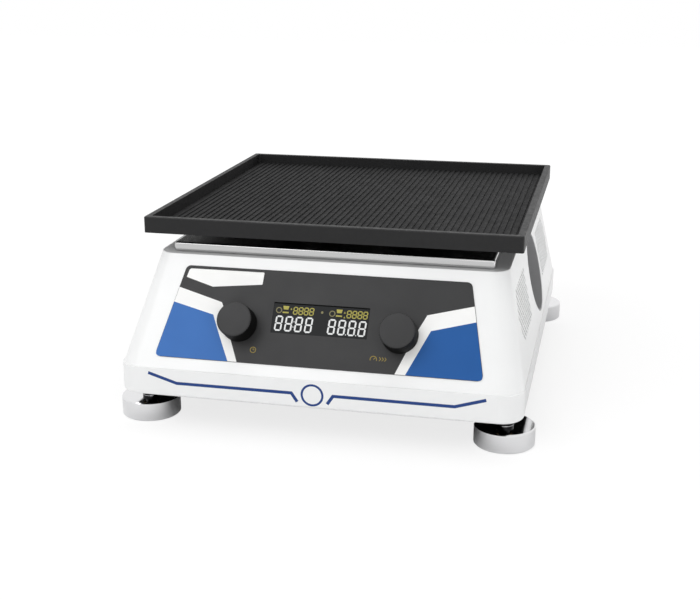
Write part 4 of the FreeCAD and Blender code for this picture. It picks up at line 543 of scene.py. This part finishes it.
def print_end(name, side, band_top, band_foot, bends, inner):
    """White band and blue field at one end of the panel."""
    top = (panel_edge(band_top, side), band_top)
    foot = (panel_edge(band_foot, side), band_foot)
    corner = (panel_edge(PANEL_FOOT, side), PANEL_FOOT)
    white = bmesh.new()
    add_shape(white, [top, foot, *bends, *inner], PANEL_FACE)
    finished(f"print_band_{name}", white, PANEL, "base", INK_WHITE)
    blue = bmesh.new()
    add_shape(blue, [foot, corner, *reversed(bends)], PANEL_FACE, rounds={1: PANEL_CORNER})
    finished(f"print_field_{name}", blue, PANEL, "base", INK_BLUE[name])


def print_bare_field():
    """Bare white field at the panel's upper left."""
    bm = bmesh.new()
    add_shape(bm, BARE_FIELD, PANEL_FACE, rounds=BARE_FIELD_ROUNDS)
    finished("print_bare_field", bm, PANEL, "base", INK_WHITE)


def print_clock():
    """A clock face under the knob that sets the time."""
    x, y = CLOCK_PLACE
    bm = bmesh.new()
    add_arc(bm, (x, y), CLOCK_RADIUS, ICON_ARC, PANEL_FACE)
    add_bar(bm, (x, y - 0.2), (x, y + 1.7), ICON_BAR, PANEL_FACE)
    add_bar(bm, (x - 0.2, y), (x + 1.4, y), ICON_BAR, PANEL_FACE)
    finished("print_clock", bm, PANEL, "base", INK_OLIVE)


def print_gauge():
    """A dial and chevrons under the knob that sets the speed."""
    x, y = GAUGE_PLACE
    bm = bmesh.new()
    add_arc(bm, (x, y), GAUGE_RADIUS, ICON_ARC, PANEL_FACE, start=-20.0, sweep=220.0, steps=24)
    add_bar(bm, (x, y), (x + 1.6, y + 1.6), ICON_BAR, PANEL_FACE)
    for i in range(3):
        tip = x + 6.6 + CHEVRON_STEP * i
        add_bar(bm, (tip - 1.5, y + 2.4), (tip, y + 0.7), ICON_BAR, PANEL_FACE)
        add_bar(bm, (tip - 1.5, y - 1.0), (tip, y + 0.7), ICON_BAR, PANEL_FACE)
    finished("print_gauge", bm, PANEL, "base", INK_OLIVE)


# Display


def add_segment(bm, start, end, stroke, base):
    """One lit segment with pointed ends, from start to end."""
    a, b = Vector(start), Vector(end)
    along = (b - a).normalized() * stroke / 2
    side = along.orthogonal()
    corners = [a, a + along - side, b - along - side, b, b - along + side, a + along + side]
    add_shape(bm, [tuple(c) for c in corners], base)


def add_digit(bm, left, foot, width, height, stroke, base):
    """A seven-segment figure with all its segments lit, leaning to the right."""
    gap = stroke * 0.12
    lean = DIGIT_SLANT

    def spot(x, y):
        return (left + x + y * lean, foot + y)

    mid = height / 2
    rows = (0.0, mid, height)
    for y in rows:
        add_segment(bm, spot(gap, y), spot(width - gap, y), stroke, base)
    for x in (0.0, width):
        for low, high in ((0.0, mid), (mid, height)):
            add_segment(bm, spot(x, low + gap), spot(x, high - gap), stroke, base)


def figures(bm, left, foot, step, sizes):
    """Figures side by side."""
    for i in range(FIGURES):
        add_digit(bm, left + i * step, foot, base=WINDOW_FACE, **sizes)


def display_group(name, left, marks):
    """Four large figures, with dots in the gaps after some of them: gap number and height."""
    bm = bmesh.new()
    figures(bm, left, BIG_DIGIT_FOOT, BIG_DIGIT_STEP, BIG_DIGIT)
    for number, height in marks:
        x = left + number * BIG_DIGIT_STEP - (BIG_DIGIT_STEP - BIG_DIGIT["width"]) / 2
        add_disc(bm, (x + height * DIGIT_SLANT, BIG_DIGIT_FOOT + height), MARK_RADIUS, WINDOW_FACE)
    finished(f"display_{name}_figures", bm, PANEL, "base", SEGMENT_WHITE)


def display_setting(name, left, ring_x, arrows):
    """The small row above: a ring, a cup over a bar, arrow heads and four figures."""
    bm = bmesh.new()
    figures(bm, left, SMALL_DIGIT_FOOT, SMALL_DIGIT_STEP, SMALL_DIGIT)
    x = ring_x + RING_TO_CUP
    add_shape(bm, [(x - 2.1, 7.9), (x + 2.1, 7.9), (x + 2.8, 11.2), (x - 2.8, 11.2)], WINDOW_FACE)
    add_bar(bm, (x - 2.8, 5.2), (x + 2.8, 5.2), 1.3, WINDOW_FACE)
    for y in arrows:
        add_shape(bm, [(left - 2.9, y - 0.9), (left - 1.3, y - 0.9), (left - 2.1, y + 0.9)], WINDOW_FACE)
    finished(f"display_{name}_setting", bm, PANEL, "base", SEGMENT_OLIVE)
    ring = bmesh.new()
    add_arc(ring, (ring_x, RING_FROM_FOOT), 2.4, 0.8, WINDOW_FACE, steps=32)
    finished(f"display_{name}_ring", ring, PANEL, "base", SEGMENT_DIM)


def display_dot():
    bm = bmesh.new()
    add_disc(bm, DOT_PLACE, DOT_RADIUS, WINDOW_FACE)
    finished("display_dot", bm, PANEL, "base", SEGMENT_DIM)


def window_painted_shadow():
    """Painted shadow: a black strip along the top of the window, standing in for the shadow where the display lies
    behind the panel's edge.
    """
    bm = bmesh.new()
    middle = WINDOW_TOP - PAINTED_SHADOW_HEIGHT / 2
    add_bar(bm, (-WINDOW_HALF_WIDTH, middle), (WINDOW_HALF_WIDTH, middle), PAINTED_SHADOW_HEIGHT, WINDOW_FACE)
    finished("display_painted_shadow", bm, PANEL, "base", PAINTED_SHADE_BLACK)


def knob_caps():
    """Cap in the panel's grey over the front of each knob, down over the round of its edge; with the knob's
    near-black sides it paints the knob's shading, lit front and shaded sides.
    """
    for name in ("time", "speed"):
        middle = PANEL.inverted() @ Vector(joint(f"{name}_turn")["pos_m"])
        bm = bmesh.new()
        corner = Vector((middle.x + KNOB_FACE_RADIUS, middle.y, KNOB_FACE_HEIGHT - KNOB_EDGE_ROUND))
        line = [bm.verts.new((middle.x, middle.y, KNOB_FACE_HEIGHT))]
        for i in range(7):
            turn = math.radians(90.0 - KNOB_CAP_SWEEP * i / 6)
            outward = Vector((math.cos(turn), 0.0, math.sin(turn)))
            line.append(bm.verts.new(corner + outward * KNOB_EDGE_ROUND))
        edges = [bm.edges.new(pair) for pair in zip(line, line[1:])]
        bmesh.ops.spin(bm, geom=line + edges, cent=middle, axis=(0, 0, 1), angle=math.tau, steps=48,
                       use_merge=True)
        bmesh.ops.remove_doubles(bm, verts=bm.verts, dist=1e-4)
        bmesh.ops.recalc_face_normals(bm, faces=bm.faces)
        bmesh.ops.solidify(bm, geom=list(bm.faces), thickness=-PRINT_THICKNESS)
        for face in bm.faces:
            face.smooth = True
        finished(f"{name}_knob_cap", bm, PANEL, f"{name}_dial", KNOB_FACE_GREY)


def rocker_marks():
    """A ring on the off half of the rocker and a bar on the on half."""
    pivot = joint("power_rock")
    lean = math.radians(BACK_LEAN)
    out = Vector((0.0, math.cos(lean), math.sin(lean)))
    across = Vector((-1.0, 0.0, 0.0))
    turn = Matrix((across, out.cross(across), out)).transposed().to_4x4()
    rest = Matrix.Rotation(math.radians(ROCKER_REST), 4, "X")
    rocker = Matrix.Translation(pivot["pos_m"]) @ turn @ Matrix.Scale(MM, 4) @ rest
    waist = Matrix.Translation((0.0, 0.0, ROCKER_WAIST))
    for name, side in (("ring", 1), ("bar", -1)):
        bm = bmesh.new()
        if name == "ring":
            add_arc(bm, (0.0, ROCKER_MARK), 1.5, 0.5, 0.0, steps=32)
        else:
            add_bar(bm, (0.0, -ROCKER_MARK - 1.6), (0.0, -ROCKER_MARK + 1.6), 0.55, 0.0)
        half = Matrix.Rotation(math.radians(side * ROCKER_SLOPE), 4, "X")
        finished(f"rocker_{name}", bm, rocker @ waist @ half, "power_button", INK_WHITE)


# Lines on the base


def underside_painted_shade():
    """A thin matt black sheet on the underside of the base: painted shade, standing in for the shadow under the
    body that the polished feet mirror.
    """
    tub = frame["nodes"]["base_tub"]
    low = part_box("base_tub")[0].z
    bm = bmesh.new()
    bm.from_mesh(tub.data)
    bmesh.ops.remove_doubles(bm, verts=bm.verts, dist=1e-6)
    highest = low + UNDERSIDE_SPREAD * MM
    others = [f for f in bm.faces if f.normal.z > -0.99 or f.calc_center_median().z > highest]
    bmesh.ops.delete(bm, geom=others, context="FACES")
    grown = bmesh.ops.extrude_face_region(bm, geom=list(bm.faces))
    bottom = [v for v in grown["geom"] if isinstance(v, bmesh.types.BMVert)]
    bmesh.ops.translate(bm, verts=bottom, vec=(0, 0, -PRINT_THICKNESS * MM))
    finished("underside_painted_shade", bm, Matrix(), "base", PAINTED_SHADE_BLACK)


def skirt_lines():
    for name, side in (("left", -1), ("right", 1)):
        bm = bmesh.new()
        add_stripe(bm, [(side * x, y) for x, y in STRIPE_POINTS], STRIPE_WIDTH, 0.0)
        finished(f"skirt_line_{name}", bm, SKIRT, "base", INK_NAVY)
    ring = bmesh.new()
    add_arc(ring, (0.0, RING_HEIGHT), RING_RADIUS - RING_WIDTH / 2, RING_WIDTH, 0.0, steps=64)
    finished("skirt_ring", ring, SKIRT, "base", INK_NAVY)


# Camera, light and floor


def aim_camera():
    camera = bpy.data.objects.new("camera", bpy.data.cameras.new("camera"))
    bpy.context.scene.collection.objects.link(camera)
    camera.location = CAMERA_SPOT
    camera.rotation_euler = (math.radians(90 - CAMERA_DOWN), 0.0, math.radians(CAMERA_LEFT))
    camera.data.lens = LENS
    camera.data.sensor_width = SENSOR
    camera.data.clip_start = 0.01
    bpy.context.scene.camera = camera


def area_light(name, spot, target, size, power):
    lamp = bpy.data.lights.new(name, "AREA")
    lamp.shape = "RECTANGLE"
    lamp.size, lamp.size_y = size
    lamp.energy = power
    lamp_object = bpy.data.objects.new(name, lamp)
    bpy.context.scene.collection.objects.link(lamp_object)
    lamp_object.location = spot
    aim = Vector(target) - Vector(spot)
    lamp_object.rotation_euler = aim.to_track_quat("-Z", "Y").to_euler()


def calculated(tree, operation, first, second):
    node = tree.nodes.new("ShaderNodeMath")
    node.operation = operation
    tree.links.new(first, node.inputs[0])
    tree.links.new(second, node.inputs[1])
    return node.outputs["Value"]


def seen_by(tree, *rays):
    """1 for what these rays see, and 0 for what only lights a surface."""
    paths = tree.nodes.new("ShaderNodeLightPath")
    value = paths.outputs[f"Is {rays[0]} Ray"]
    for ray in rays[1:]:
        value = calculated(tree, "MAXIMUM", value, paths.outputs[f"Is {ray} Ray"])
    return value


def light_room():
    world = bpy.data.worlds.new("room")
    bpy.context.scene.world = world
    world.use_nodes = True
    tree = world.node_tree
    ambient = tree.nodes["Background"]
    ambient.inputs["Color"].default_value = (1.0, 1.0, 1.0, 1.0)
    ambient.inputs["Strength"].default_value = AMBIENT
    white = tree.nodes.new("ShaderNodeBackground")
    white.inputs["Color"].default_value = (1.0, 1.0, 1.0, 1.0)
    white.inputs["Strength"].default_value = 1.0
    choice = tree.nodes.new("ShaderNodeMixShader")
    tree.links.new(seen_by(tree, "Camera", "Glossy", "Transmission"), choice.inputs["Fac"])
    tree.links.new(ambient.outputs["Background"], choice.inputs[1])
    tree.links.new(white.outputs["Background"], choice.inputs[2])
    tree.links.new(choice.outputs["Shader"], tree.nodes["World Output"].inputs["Surface"])
    for name, (spot, target, size, power) in LAMPS.items():
        area_light(name, spot, target, size, power)


def floor_material():
    """White for the camera and in mirrors, with the object's soft shadow kept near it."""
    material, shader = finish_of("floor", (0.90, 0.90, 0.90), 0.9, shine=0.2)
    tree = material.node_tree
    place = tree.nodes.new("ShaderNodeTexCoord")
    distance = tree.nodes.new("ShaderNodeVectorMath")
    distance.operation = "LENGTH"
    tree.links.new(place.outputs["Object"], distance.inputs[0])
    white = tree.nodes.new("ShaderNodeEmission")
    white.inputs["Strength"].default_value = FLOOR_WHITE
    away = distance.outputs["Value"]
    direct = spread(material, away, **SHADOW_SEEN)
    mirrored = spread(material, away, **SHADOW_MIRRORED)
    direct = calculated(tree, "MULTIPLY", direct, seen_by(tree, "Camera"))
    mirrored = calculated(tree, "MULTIPLY", mirrored, seen_by(tree, "Glossy", "Transmission"))
    share = calculated(tree, "MAXIMUM", direct, mirrored)
    choice = tree.nodes.new("ShaderNodeMixShader")
    tree.links.new(share, choice.inputs["Fac"])
    tree.links.new(shader.outputs["BSDF"], choice.inputs[1])
    tree.links.new(white.outputs["Emission"], choice.inputs[2])
    tree.links.new(choice.outputs["Shader"], tree.nodes["Material Output"].inputs["Surface"])
    return material


def lay_floor():
    bm = bmesh.new()
    bmesh.ops.create_grid(bm, x_segments=1, y_segments=1, size=FLOOR_HALF_SIZE)
    mesh = bpy.data.meshes.new("floor")
    bm.to_mesh(mesh)
    bm.free()
    mesh.materials.append(floor_material())
    floor = bpy.data.objects.new("floor", mesh)
    bpy.context.scene.collection.objects.link(floor)


def make_scene():
    bpy.context.scene.view_settings.view_transform = "Standard"
    aim_camera()
    light_room()
    lay_floor()
    dress_nodes()
    for name, places in END_PRINT.items():
        print_end(name, **places)
    print_bare_field()
    print_clock()
    print_gauge()
    for name, places in DISPLAY_GROUPS.items():
        display_group(name, **places)
    for name, places in DISPLAY_SETTINGS.items():
        display_setting(name, **places)
    display_dot()
    knob_caps()
    rocker_marks()
    window_painted_shadow()
    underside_painted_shade()
    skirt_lines()


make_scene()
